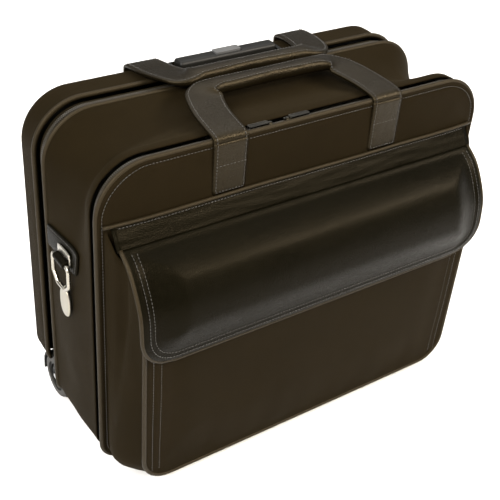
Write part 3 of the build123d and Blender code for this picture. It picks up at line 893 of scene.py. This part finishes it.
def makePocket():
    back, front = place["lidFront"] - 0.5 * mm, place["pocketFront"]
    half, limit = pocket["frontHalf"], place["halfWidth"] + pocket["overhang"]
    walls = []
    for t in along(0, 1, 15):
        wide = mix(pocket["backHalf"], half, t)
        top = mix(pocket["backTop"], pocket["frontTop"], t) - math.sin(math.pi * t) * 3 * mm
        row = []
        for x, z in pocketEdge(wide, top):
            onSide = blendStep(wide - 30 * mm, wide - 2 * mm, abs(x))
            slack = wander(x, t * 0.2, z, 22, 8) * 1.2 * mm * math.sin(math.pi * t)
            out = min(abs(x) + pocketPush(t, z) * onSide + slack * onSide, limit)
            row.append(Vector((out if x > 0 else -out, mix(back, front, t), z)))
        walls.append(row)
    sides = sheetPiece("pocketGusset", walls, "cloth", pocket["thickness"])
    settle(sides, "front_lid", "ballistic_cloth", "pocket_shell")
    face = []
    for z in along(pocket["frontTop"], pocket["floor"], 70):
        dip = pocket["floor"] + pocket["corner"] - z
        cut = pocket["corner"] - math.sqrt(max(0, pocket["corner"] ** 2 - dip ** 2)) if dip > 0 else 0
        row = []
        for s in along(-1, 1, 97):
            x = math.copysign(1 - (1 - abs(s)) ** 1.25, s) * (half - cut)
            edge = min(half - cut - abs(x), z - pocket["floor"])
            row.append(Vector((x, front - pocketFace(x, z, edge), z)))
        face.append(row)
    cover = sheetPiece("pocketFront", face, "cloth", pocket["thickness"])
    settle(cover, "front_lid", "ballistic_cloth")
    rim = [Vector((x, front + 0.4 * mm, z)) for x, z in pocketEdge(half + 0.4 * mm, pocket["frontTop"], 90)]
    cordPiece("pocketPiping", rim, pocket["cord"], "front_lid")

    def onFace(x, z, back):
        return Vector((x, front - pocketFace(x, z, half - abs(x)) + back, z))

    heights = along(pocket["frontTop"] - 4 * mm, pocket["floor"] + 14 * mm, 60)
    lines = [[onFace(side * (half - inset), z, -0.3 * mm) for z in heights]
             for inset in pocket["seams"] for side in (-1, 1)]
    makeStitches("pocketStitches", "front_lid", "edge_cord", lines)
    hem = [onFace(x, pocket["frontTop"], 0.8 * mm) for x in along(-half + 1 * mm, half - 1 * mm, 60)]
    cordPiece("pocketHem", hem, pocket["hem"], "front_lid")


makePanel()
makeShelf()
makePocket()
print("front panel and pocket made")


# padded flap, its cover settled as cloth

flap = {
    "half": high("flap_cover", "x"), "top": high("flap_cover", "z"), "bottom": low("flap_cover", "z"),
    "hinge": high("flap_cover", "y"), "corner": 36 * mm, "border": 12 * mm, "thin": 2.6 * mm, "thick": 11.5 * mm,
    "furrow": 0.9 * mm, "edgeCord": 1.9 * mm, "rowGap": 5 * mm, "rowsDown": 36, "across": 105,
    "pressure": 1.0, "grow": 0.0, "frames": 20, "cap": 4 * mm,
}


def flapSpine(count):
    # inner side of the flap in side view, from its hinge seam to its lower edge
    hinge, front = flap["hinge"], place["pocketFront"]
    knots = [(hinge, 0.0), (hinge - 18 * mm, 0.135), (front - 3.5 * mm, 0.40),
             (front - 7.8 * mm, 0.64), (front - 8.0 * mm, 0.84), (front - 5.5 * mm, 1.0)]
    drop = flap["top"] - flap["bottom"]
    fine = smoothLine([Vector((y, flap["top"] - share * drop)) for y, share in knots], 23)
    lengths = [0.0]
    for a, b in zip(fine, fine[1:]):
        lengths.append(lengths[-1] + (b - a).length)
    spine = []
    for want in along(0, lengths[-1], count):
        k = max(i for i, v in enumerate(lengths) if v <= want + 1e-9)
        k = min(k, len(fine) - 2)
        share = (want - lengths[k]) / (lengths[k + 1] - lengths[k])
        spine.append(fine[k].lerp(fine[k + 1], share))
    return spine, lengths[-1]


def flapRow(p, normal, left, down):
    # one row across the flap: its outer points, inner points and distances from the edge
    corner, half = flap["corner"], flap["half"]
    if left < corner:
        half -= cornerCut(corner, left)
    outer, inner, edges = [], [], []
    for c in along(-1, 1, flap["across"]):
        x = c * half
        edge = min(half - abs(x), left, down + 6 * mm)
        if left < corner and half - abs(x) < corner:
            edge = min(edge, corner - math.hypot(corner - left, max(0, corner - (flap["half"] - abs(x)))))
        edge = max(edge, 0.0)
        furrow = dent(edge - flap["border"], 1.8 * mm) * flap["furrow"]
        lift = mix(flap["thin"], flap["thick"], blendStep(flap["border"], flap["border"] + 34 * mm, edge)) - furrow
        lift *= 0.45 + 0.55 * blendStep(0, 3 * mm, edge)
        outer.append(Vector((x, p.x + normal.x * lift, p.y + normal.y * lift)))
        inner.append(Vector((x, p.x, p.y)))
        edges.append(edge)
    return outer, inner, edges


def makeFlap():
    rowsDown, count = flap["rowsDown"], flap["across"]
    spine, length = flapSpine(rowsDown)
    outer, backing, edges = [], [], []
    for r, p in enumerate(spine):
        slope = (spine[min(r + 1, rowsDown - 1)] - spine[max(r - 1, 0)]).normalized()
        normal = Vector((slope.y, -slope.x))
        if normal.x > 0:
            normal = -normal
        down = length * r / (rowsDown - 1)
        outRow, inRow, edgeRow = flapRow(p, normal, length - down, down)
        outer.append(outRow)
        backing += inRow
        edges.append(edgeRow)
    cover = gridPiece("flapCover", outer, "leather")
    held = [i for i, e in enumerate(e for row in edges for e in row) if e < flap["border"] + 1.5 * mm]
    settleCloth(cover, held, flap)
    points = [v.co.copy() for v in cover.data.vertices]
    size = rowsDown * count
    rim = [r * count for r in range(rowsDown)] + [(rowsDown - 1) * count + c for c in range(1, count)]
    rim += [r * count + count - 1 for r in range(rowsDown - 2, -1, -1)] + list(range(count - 2, 0, -1))
    faces = [list(poly.vertices) for poly in cover.data.polygons]
    faces += [[v + size for v in face[::-1]] for face in faces]
    faces += [[a, b, b + size, a + size] for a, b in zip(rim, rim[1:] + rim[:1])]
    uvs = [(p.x, (i // count) * length / rowsDown) for i, p in enumerate(points)] * 2
    padded = newPiece("paddedFlap", points + backing, faces, "leather", uvs)
    bpy.data.objects.remove(cover)
    soften(mendNormals(padded, cordWeld))
    settle(padded, "flap", "black_leather", "flap_cover")
    trimFlap(points, edges)


def trimFlap(points, edges):
    # bound edge round the flap and a double row of stitches inside it
    rows, count = len(edges), len(edges[0])
    grid = lambda r, c: points[r * count + c]
    path = [grid(r, 0) for r in range(rows)] + [grid(rows - 1, c) for c in range(1, count)]
    path += [grid(r, count - 1) for r in range(rows - 2, -1, -1)]
    path = [p + Vector((0, 1.1 * mm, 0)) for p in path]
    clean = [path[0]]
    for p in path[1:]:
        if (p - clean[-1]).length > 2.5 * mm:
            clean.append(p)
    cordPiece("flapBinding", clean, flap["edgeCord"], "flap", slot="black_leather")
    for number, want in ((1, flap["border"]), (2, flap["border"] - flap["rowGap"])):
        left = []
        for r in range(2, rows):
            row = edges[r]
            inside = [c for c in range(count // 2) if row[c] <= want]
            if inside and row[inside[-1] + 1] > want:
                c = inside[-1]
                t = (want - row[c]) / max(row[c + 1] - row[c], 1e-6)
                left.append(grid(r, c).lerp(grid(r, c + 1), t))
        lowerRow = []
        for c in range(count // 2 + 1):
            for r in range(rows - 1, 1, -1):
                if edges[r][c] <= want < edges[r - 1][c] and edges[r - 1][c] < 0.6 * flap["half"]:
                    t = (want - edges[r][c]) / (edges[r - 1][c] - edges[r][c])
                    lowerRow.append(grid(r, c).lerp(grid(r - 1, c), t))
                    break
        side = left + [p for p in lowerRow if p.x > left[-1].x + 2 * mm and p.z < left[-1].z + 1 * mm]
        whole = side + [Vector((-p.x, p.y, p.z)) for p in reversed(side[:-1])]
        lifted = [p + Vector((0, -0.35 * mm, 0.1 * mm)) for p in whole]
        makeStitches("flapStitches%d" % number, "flap", "black_leather", [lifted])


def settleCloth(piece, held, sizes):
    # lets the cover swell and crease a little, then keeps that shape
    start = [v.co.copy() for v in piece.data.vertices]
    group = piece.vertex_groups.new(name="held")
    group.add(held, 1.0, "REPLACE")
    modifier = piece.modifiers.new("settle", "CLOTH")
    cloth = modifier.settings
    cloth.quality = 7
    cloth.mass = 0.25
    cloth.tension_stiffness = 18
    cloth.compression_stiffness = 18
    cloth.shear_stiffness = 8
    cloth.bending_stiffness = 20
    cloth.vertex_group_mass = "held"
    cloth.shrink_min = -sizes["grow"]
    cloth.use_pressure = True
    cloth.uniform_pressure_force = sizes["pressure"]
    cloth.effector_weights.gravity = 0
    modifier.collision_settings.use_collision = False
    scene = bpy.context.scene
    for number in range(1, sizes["frames"] + 1):
        scene.frame_set(number)
    graph = bpy.context.evaluated_depsgraph_get()
    settled = [v.co.copy() for v in piece.evaluated_get(graph).data.vertices]
    piece.modifiers.remove(modifier)
    scene.frame_set(1)
    for vertex, was, now in zip(piece.data.vertices, start, settled):
        move = now - was
        if move.length > sizes["cap"]:
            move = move.normalized() * sizes["cap"]
        vertex.co = was + move
    piece.vertex_groups.clear()
    largest = max((now - was).length for was, now in zip(start, settled))
    print(piece.name, "settled, largest move mm", round(largest / mm, 1))


makeFlap()
print("flap made")


# carrying handles: one band of leather from tab to tab, rolled into a grip at the top

handle = {
    "strapHalf": 18 * mm, "strapThick": 1.9 * mm, "gripWide": 9 * mm, "gripDeep": 7 * mm, "sides": 28, "seam": 3.2 * mm,
    # each bend: how far in from the tab's middle, share of the reach to the grip, height of the band's drop
    "bends": ((0.5, 0.20, -7), (3, 0.50, -4), (9, 0.80, 1), (17, 0.97, 5), (32, 1.0, 7), (50, 1.0, 8), (70, 1.0, 8.5)),
}
handleTab = {"out": 90 * mm, "half": 18 * mm, "thick": 3.0 * mm, "seam": 3.2 * mm, "corner": 3 * mm, "cross": 30 * mm}


def handleKnots(base, grip, side):
    # middle line of half a handle, from its tab over the edge to the middle of the grip
    centre = middle("handle_tabs_front", "x") + side * handleTab["out"]
    top, reach = place["top"], grip.y - base
    knots = [Vector((centre, base, top - 5 * mm)), Vector((centre, base + reach * 0.02, top + 3 * mm))]
    for inward, share, drop in handle["bends"]:
        z = top + 4.5 * mm + (grip.z - top - 8 * mm) * min(1.0, share * 1.05) + max(drop, 0) * 0.2 * mm
        knots.append(Vector((centre - side * inward * mm, base + reach * share, z)))
    knots.append(Vector((0, grip.y, knots[-1].z)))
    return knots


def makeHandle(name, body, base, gripNode, strapNode):
    # the width turns from across the case to along it as the band bends into the grip
    grip = Vector((0, middle(gripNode, "y"), middle(gripNode, "z") - 2 * mm))
    away = 1 if grip.y > base else -1
    line = smoothLine(handleKnots(base, grip, -1), 9)
    line += [Vector((-p.x, p.y, p.z)) for p in reversed(line[:-1])]
    count, rows = len(line), []
    topEdge, lowEdge = [], []
    for i, p in enumerate(line):
        ahead = (line[min(i + 1, count - 1)] - line[max(i - 1, 0)]).normalized()
        side = -1 if i < count / 2 else 1
        share = min(i, count - 1 - i) / (count / 2)
        rolled = blendStep(0.46, 0.68, share)
        flat = Vector((-side, 0, 0)).lerp(Vector((0, -away, 0)), blendStep(0.40, 0.60, share))
        wide = (flat - ahead * flat.dot(ahead)).normalized()
        out = wide.cross(ahead).normalized() * away
        half = mix(handle["strapHalf"], handle["gripWide"], rolled) - 1.2 * mm * blendStep(0.72, 1.0, share)
        thick = mix(handle["strapThick"], handle["gripDeep"], rolled)
        power = 0.34 + 0.5 * rolled
        ring = []
        for s in range(handle["sides"]):
            a = 2 * math.pi * s / handle["sides"]
            across = roundedBox(math.cos(a), power) * half
            up = roundedBox(math.sin(a), power) * thick
            crease = wander(p.x + across, p.y, p.z, 55, 4) * 0.7 * mm * rolled
            crease += wander(p.x, across, p.z, 30, 8) * 0.8 * mm * (1 - rolled)
            ring.append(p + wide * across + out * (up + crease * (1 if up > 0 else 0.3)))
        rows.append(ring)
        inset = half - handle["seam"]
        rise = thick * (1 - (inset / half) ** (2 / power)) ** (power / 2) if rolled > 0.05 else thick
        topEdge.append(p + wide * inset + out * (rise + 0.25 * mm))
        lowEdge.append(p - wide * inset + out * (rise + 0.25 * mm))
    rows.insert(0, [line[0].copy() for s in range(handle["sides"])])
    rows.append([line[-1].copy() for s in range(handle["sides"])])
    band = soften(mendNormals(gridPiece(name, rows, "strapLeather", True), cordWeld))
    settle(band, body, "black_leather", strapNode, gripNode)
    keep = slice(2, count - 2)
    makeStitches(name + "Stitches", body, "black_leather", [topEdge[keep], lowEdge[keep]])


def leatherFace(edge, thick, rim, seam):
    # height of a stitched leather patch: thin at its rim, with a furrow along its seam
    return thick * (rim + (1 - rim) * blendStep(0, 1.6 * mm, edge)) - dent(edge - seam, 0.9 * mm) * 0.5 * mm


def makeTab(name, centre, zLow, zHigh, y, towards):
    # stitched leather tab lying on an upright face, its lower end rounded a little
    rows = []
    for z in along(zLow, zHigh, 22):
        t = (z - zLow) / (zHigh - zLow)
        rounding = min(1.0, (z - zLow) / (5 * mm))
        wide = handleTab["half"] - handleTab["corner"] * (1 - math.sqrt(max(0.0, 1 - (1 - rounding) ** 2)))
        row = []
        for s in along(-1, 1, 15):
            puff = leatherFace(min(wide - abs(s) * wide, z - zLow), handleTab["thick"], 0.55, handleTab["seam"])
            puff += wander(centre + s, t, 0, 2.2, 3) * 0.3 * mm
            row.append(Vector((centre + s * wide, y + towards * puff, z)))
        rows.append(row)
    return sheetPiece(name, rows, "strapLeather", handleTab["thick"] * 0.9, facing=("y", towards))


def makeTabs(node, body, towards):
    base = low(node, "y") if towards > 0 else high(node, "y")
    zLow, zHigh = low(node, "z"), high(node, "z") + 3.5 * mm
    y, edge = base + towards * handleTab["thick"], handleTab["half"] - handleTab["seam"]
    bottom, cross = zLow + 3.4 * mm, zLow + handleTab["cross"]
    parts, seams = [], []
    for side in (-1, 1):
        centre = side * handleTab["out"]
        parts.append(makeTab("%sPart%d" % (node, side), centre, zLow, zHigh, base, towards))
        seam = [Vector((centre - edge, y, z)) for z in along(zHigh - 2 * mm, bottom, 12)]
        seam += [Vector((x, y, bottom)) for x in along(centre - edge, centre + edge, 10)[1:]]
        seam += [Vector((centre + edge, y, z)) for z in along(bottom, zHigh - 2 * mm, 12)[1:]]
        seams += [seam, [Vector((x, y, cross)) for x in along(centre - edge, centre + edge, 10)]]
    joined = joinPieces(node + "Leather", parts, "strapLeather")
    settle(joined, body, "black_leather", node)
    makeStitches(node + "Stitches", body, "black_leather", seams)


def joinPieces(name, parts, finish):
    points, faces = [], []
    for part in parts:
        start = len(points)
        points += [v.co.copy() for v in part.data.vertices]
        faces += [[v + start for v in p.vertices] for p in part.data.polygons]
        bpy.data.objects.remove(part)
    return newPiece(name, points, faces, finish, [(p.x + p.y, p.z) for p in points])


makeTabs("handle_tabs_front", "front_lid", -1)
makeTabs("handle_tabs_rear", "case", 1)
frontBase, rearBase = low("front_handle_straps", "y") + 2 * mm, high("rear_handle_straps", "y") - 2 * mm
makeHandle("frontHandle", "front_handle", frontBase, "front_handle_grip", "front_handle_straps")
makeHandle("rearHandle", "rear_handle", rearBase, "rear_handle_grip", "rear_handle_straps")
print("handles made")


# zip tapes, one woven ring for each half of a zip

tape = {"inset": 5 * mm, "thickness": 1.3 * mm}


def makeTape(node, body, floor):
    depths = along(high(node, "y"), low(node, "y"), 4)
    rows = wallRows([(y, tape["inset"], 0) for y in depths], floor)
    skip = (lambda quad: nearWheel(quad, -1, 1)) if middle(node, "y") > place["mainFront"] + 20 * mm else None
    ring = sheetPiece(node + "Tape", rows, "tape", tape["thickness"], closed=True, skip=skip)
    settle(ring, body, "zip_tape", node)


makeTape("rear_zip_half", "case", place["rearFloor"])
for node, body in (("main_rear_zip_half", "main_section"), ("main_front_zip_half", "main_section"),
                   ("lid_zip_half", "front_lid")):
    makeTape(node, body, place["mainFloor"])


# side tabs for the shoulder strap, and the oval tag on the left ring

sideTab = {
    "thick": 3.2 * mm, "sheet": 2.2 * mm, "corner": 4 * mm, "seam": 3 * mm,
    "sleeveHalf": 11.5 * mm, "sleeve": 3.6 * mm, "plateHalfY": 13.5 * mm, "plateHalfZ": 7.2 * mm,
    "tagHigh": 33 * mm, "tagWide": 20 * mm, "tagThick": 2.2 * mm, "link": 0.8 * mm,
}


def gussetSide(y, z):
    return place["halfWidth"] - gussetShift(place["halfWidth"], y, z)


def makeSideTab(side, label):
    node = "side_tab_" + label
    yLow, yHigh, zLow, zHigh = low(node, "y"), high(node, "y"), low(node, "z"), high(node, "z")
    half, mid = (yHigh - yLow) / 2, (yHigh + yLow) / 2
    rows = []
    for t in along(-1, 1, 20):
        z = (zLow + zHigh) / 2 + t * (zHigh - zLow) / 2
        row = []
        for s in along(-1, 1, 46):
            y = mid + s * (half - sideTab["corner"] * (1 - math.sqrt(max(0.0, 1 - t ** 6))))
            edge = min((1 - abs(s)) * half, (1 - abs(t)) * (zHigh - zLow) / 2)
            puff = leatherFace(edge, sideTab["thick"], 0.5, sideTab["seam"])
            row.append(Vector((side * (gussetSide(y, z) + puff), y, z)))
        rows.append(row)
    patch = sheetPiece("sideTab" + label, rows, "leather", sideTab["sheet"], facing=("x", side))
    settle(patch, "main_section", "black_leather", node)
    ins, seam = sideTab["seam"], []
    corners = [(yHigh - ins, zHigh - ins), (yLow + ins, zHigh - ins), (yLow + ins, zLow + ins), (yHigh - ins, zLow + ins)]
    for a, b in zip(corners, corners[1:] + corners[:1]):
        for s in along(0, 1, 24)[:-1]:
            y, z = mix(a[0], b[0], s), mix(a[1], b[1], s)
            seam.append(Vector((side * (gussetSide(y, z) + sideTab["thick"] - 0.1 * mm), y, z)))
    makeStitches("sideTabStitches" + label, "main_section", "black_leather", [seam], True)
    barY = makeSleeve(side, label)
    face = gussetSide(barY, zLow + 12 * mm) + sideTab["thick"] + 0.2 * mm
    plate = makePlate("tabPlate" + label, side, barY, zLow + 9.5 * mm, sideTab["plateHalfY"], sideTab["plateHalfZ"], face)
    settle(plate, "main_section", "nickel")


def makeSleeve(side, label):
    # leather loop that holds the ring's bar to its tab; gives the bar's depth
    ring = "side_ring_" + label
    barX, barY, barZ = middle(ring, "x"), middle(ring, "y"), high(ring, "z") - 2 * mm
    reach, rows = sideTab["sleeve"], []
    for y in along(barY - sideTab["sleeveHalf"], barY + sideTab["sleeveHalf"], 12):
        row = []
        for a in along(0.0, 2 * math.pi, 21)[:-1]:
            wide, tall = (1.0, 1.0) if math.cos(a) > 0 else (1.5, 1.25)
            row.append(Vector((barX + side * math.cos(a) * reach * wide, y, barZ + math.sin(a) * reach * tall)))
        rows.append(row + [row[0].copy()])
    rows.insert(0, [Vector((barX, rows[0][0].y, barZ)) for p in rows[0]])
    rows.append([Vector((barX, rows[-1][0].y, barZ)) for p in rows[-1]])
    sleeve = soften(mendNormals(gridPiece("ringSleeve" + label, rows, "leather", True), cordWeld))
    settle(sleeve, "main_section", "black_leather")
    return barY


def makePlate(name, side, y, z, halfY, halfZ, x, finish="nickel", thick=1.4 * mm, power=0.45):
    # bevelled flat plate facing sideways, its outline between a box and an oval
    core, crown = min(halfY, halfZ), thick * 1.05
    steps = [(0.0, 0.0), (0.0, thick * 0.6), (0.8 * mm, thick), (2.0 * mm, crown), (core * 0.7, crown), (core * 0.995, crown)]
    rings = []
    for inset, rise in steps:
        row = []
        for a in along(0, 2 * math.pi, 49):
            u = roundedBox(math.cos(a), power) * (halfY - inset)
            v = roundedBox(math.sin(a), power) * (halfZ - inset)
            row.append(Vector((side * (x + rise), y + u, z + v)))
        rings.append(row)
    back = [[Vector((side * x, mix(y, p.y, k), mix(z, p.z, k))) for p in rings[0]] for k in (0.02, 0.5)]
    return mendNormals(gridPiece(name, back + rings, finish, True), cordWeld)


def makeTag():
    # oval metal tag hanging from the left ring by a small link
    ring, halfHigh = "side_ring_left", sideTab["tagHigh"] / 2
    bottom, y, x = low(ring, "z"), middle(ring, "y") - 6 * mm, -high(ring, "x")
    centreZ = bottom + 4 * mm - halfHigh
    tag = makePlate(
        "ringTag", -1, y, centreZ, sideTab["tagWide"] / 2, halfHigh, x + 0.6 * mm, "tag", sideTab["tagThick"], 0.86)
    settle(tag, "ring_left", "nickel")
    heart = Vector((-(x + 0.4 * mm), y, bottom + 1.5 * mm))
    turns = along(0, 2 * math.pi, 25)[:-1]
    hoop = [heart + Vector((math.cos(a) * 2.4 * mm, 0, math.sin(a) * 4.4 * mm)) for a in turns]
    cordPiece("tagLink", hoop, sideTab["link"], "ring_left", slot="nickel", finish="nickel", closed=True, sides=8)


makeSideTab(-1, "left")
makeSideTab(1, "right")
makeTag()
print("side tabs and tag made")


# inside fittings

padHeights = along(low("laptop_pad", "z"), high("laptop_pad", "z"), 6)
laptopPad = {
    "channels": padHeights[1:-1], "crown": 1.2 * mm, "corner": 20 * mm, "step": 6 * mm, "fill": 0.4,
    "pressure": 1.2, "grow": 0.004, "frames": 14, "cap": 1.2 * mm,
}
laptopStrap = {"channels": (), "crown": 0.3 * mm, "corner": 3 * mm, "step": 5 * mm}
fileDivider = {"channels": (), "crown": 0.2 * mm, "corner": 8 * mm, "step": 10 * mm}
pocketOrganiser = {
    "channels": (low("pocket_organiser", "z") + 70 * mm,), "crown": 0.8 * mm, "corner": 6 * mm, "step": 6 * mm,
}


def makePad(name, body, node, finish, sizes):
    # flat quilted pad standing upright, both faces crowned between its sewn channels
    xLow, xHigh, zLow, zHigh = low(node, "x"), high(node, "x"), low(node, "z"), high(node, "z")
    yMid, half = middle(node, "y"), (high(node, "y") - low(node, "y")) / 2
    crown, corner = sizes["crown"], sizes["corner"]
    count, upCount = int((xHigh - xLow) / sizes["step"]) | 1, int((zHigh - zLow) / sizes["step"]) | 1
    points = []
    for sign in (-1, 1):
        for z in along(zLow, zHigh, upCount):
            near = min(z - zLow, zHigh - z)
            cut = cornerCut(corner, near) if near < corner else 0.0
            for x in along(xLow + cut, xHigh - cut, count):
                edge = min(x - xLow - cut, xHigh - cut - x, near)
                thick = (half - crown) * blendStep(-2 * mm, 3 * mm, edge) + crown * blendStep(4 * mm, 30 * mm, edge)
                for channel in sizes["channels"]:
                    thick -= 1.5 * mm * dent(z - channel, 2.6 * mm) * blendStep(4 * mm, 10 * mm, edge)
                points.append(Vector((x, yMid + sign * thick, z)))
    size = count * upCount
    quads = []
    for r in range(upCount - 1):
        for c in range(count - 1):
            a = r * count + c
            quads.append([a, a + 1, a + count + 1, a + count])
            quads.append([a + size, a + count + size, a + count + 1 + size, a + 1 + size])
    rim = list(range(count)) + [r * count + count - 1 for r in range(1, upCount)]
    rim += [(upCount - 1) * count + c for c in range(count - 2, -1, -1)] + [r * count for r in range(upCount - 2, 0, -1)]
    quads += [[b, a, a + size, b + size] for a, b in zip(rim, rim[1:] + rim[:1])]
    pad = newPiece(name, points, quads, finish, [(p.x, p.z) for p in points])
    mendNormals(pad, cordWeld)
    if "fill" in sizes:
        settlePad(pad, half, sizes)
    soften(pad)
    settle(pad, body, "lining", node)
    "fill" in sizes


def settlePad(pad, half, sizes):
    # a short cloth run with its border held, so the quilting looks used
    start = [v.co.copy() for v in pad.data.vertices]
    yMid = sum(p.y for p in start) / len(start)
    held = [i for i, p in enumerate(start) if abs(p.y - yMid) < half * 0.62]
    settleCloth(pad, held, sizes)


makePad("laptopPad", "main_section", "laptop_pad", "lining", laptopPad)
makePad("laptopStrap", "main_section", "laptop_strap", "tape", laptopStrap)
makePad("fileDivider", "main_section", "file_divider", "lining", fileDivider)
makePad("pocketOrganiser", "front_lid", "pocket_organiser", "lining", pocketOrganiser)

divider = {"rings": (3.6, 8, 20, 31, 60, 100), "thickness": 1.2 * mm}


def makeDivider():
    # back wall of the laptop bay, two skins cut round the wheels
    def inWheel(quad):
        x, y, z = faceMiddle(quad)
        return x > wheelRoom["near"] - 3 * mm and z < wheelRoom["top"] + 6 * mm

    nodes = ["main_divider"]
    for name, y, towards in (
            ("dividerBack", high("main_divider", "y"), 1), ("dividerFront", low("main_divider", "y"), -1)):
        rows = wallRows([(y, inset * mm, 0) for inset in divider["rings"]], place["mainFloor"])
        wall = sheetPiece(
            name, rows, "lining", divider["thickness"], closed=True, skip=inWheel, panel=True, facing=("y", towards))
        settle(wall, "main_section", "lining", *nodes)
        nodes = []


makeDivider()
print("inside fittings made")


# finishes on the solids that keep their own shape

keptFinishes = {
    "rubber": ("tyre_", "front_feet"),
    "plastic": ("hub_", "wheel_housing_", "base_rail", "rear_frame_sheet", "trolley_foot", "trolley_bezel",
                "trolley_grip", "skid_strips"),
    "steel": ("bearing_", "axles"),
    "tube": ("trolley_tubes_",),
    "button": ("release_button",),
    "nickel": ("side_ring_",),
    "gunmetal": ("rear_slider_", "front_slider_"),
    "pile": ("flap_hook_patch", "pocket_loop_patch"),
}
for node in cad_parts:
    solid = bpy.data.objects.get(node)
    for finish, starts in keptFinishes.items():
        if solid and node.startswith(starts):
            solid.data.materials.clear()
            solid.data.materials.append(finishes[finish])
print("kept solids finished")


# floor, light and camera

studio = {"floorHalf": 30, "world": 0.22, "warm": (1.0, 0.92, 0.80)}
shot = {
    "lens": 67.7, "sensor": 36, "near": 0.05, "far": 60, "where": (-0.5018, -0.6521, 0.7475),
    "right": (0.8297, -0.5539, 0.0700), "up": (0.2745, 0.5140, 0.8127), "back": (-0.4861, -0.6550, 0.5785),
}


def makeFloor():
    half = studio["floorHalf"]
    corners = [Vector((x, y, 0)) for x, y in ((-half, -half), (half, -half), (half, half), (-half, half))]
    newPiece("studioFloor", corners, [[0, 1, 2, 3]], "paper")


def addLight(name, where, aim, size, power, colour=(1, 1, 1)):
    data = bpy.data.lights.new(name, "AREA")
    data.shape = "RECTANGLE"
    data.size, data.size_y = size
    data.energy = power
    data.color = colour
    light = bpy.data.objects.new(name, data)
    bpy.context.scene.collection.objects.link(light)
    light.location = where
    light.rotation_euler = (Vector(aim) - Vector(where)).to_track_quat("-Z", "Y").to_euler()


def addWorld():
    world = bpy.data.worlds.new("studio")
    world.use_nodes = True
    background = world.node_tree.nodes["Background"].inputs
    background["Color"].default_value = (1, 1, 1, 1)
    background["Strength"].default_value = studio["world"]
    bpy.context.scene.world = world


def addCamera():
    data = bpy.data.cameras.new("camera")
    data.lens, data.sensor_width = shot["lens"], shot["sensor"]
    data.clip_start, data.clip_end = shot["near"], shot["far"]
    camera = bpy.data.objects.new("camera", data)
    bpy.context.scene.collection.objects.link(camera)
    turn = Matrix((shot["right"], shot["up"], shot["back"])).transposed()
    camera.matrix_world = Matrix.Translation(shot["where"]) @ turn.to_4x4()
    bpy.context.scene.camera = camera


makeFloor()
addLight("softKey", (-2.0, -0.6, 1.9), (0, 0, 0.15), (1.2, 1.2), 92)
addLight("softFront", (1.35, -1.6, 1.8), (0, -0.1, 0.23), (2.0, 0.5), 115, studio["warm"])
addLight("softFill", (-1.3, -1.35, 1.75), (0, -0.1, 0.23), (0.45, 0.45), 34, studio["warm"])
addLight("softTop", (0.2, 0.9, 3.2), (0, 0, 0.0), (4.5, 4.0), 150)
addWorld()
addCamera()
bpy.context.scene.view_settings.view_transform = "Standard"
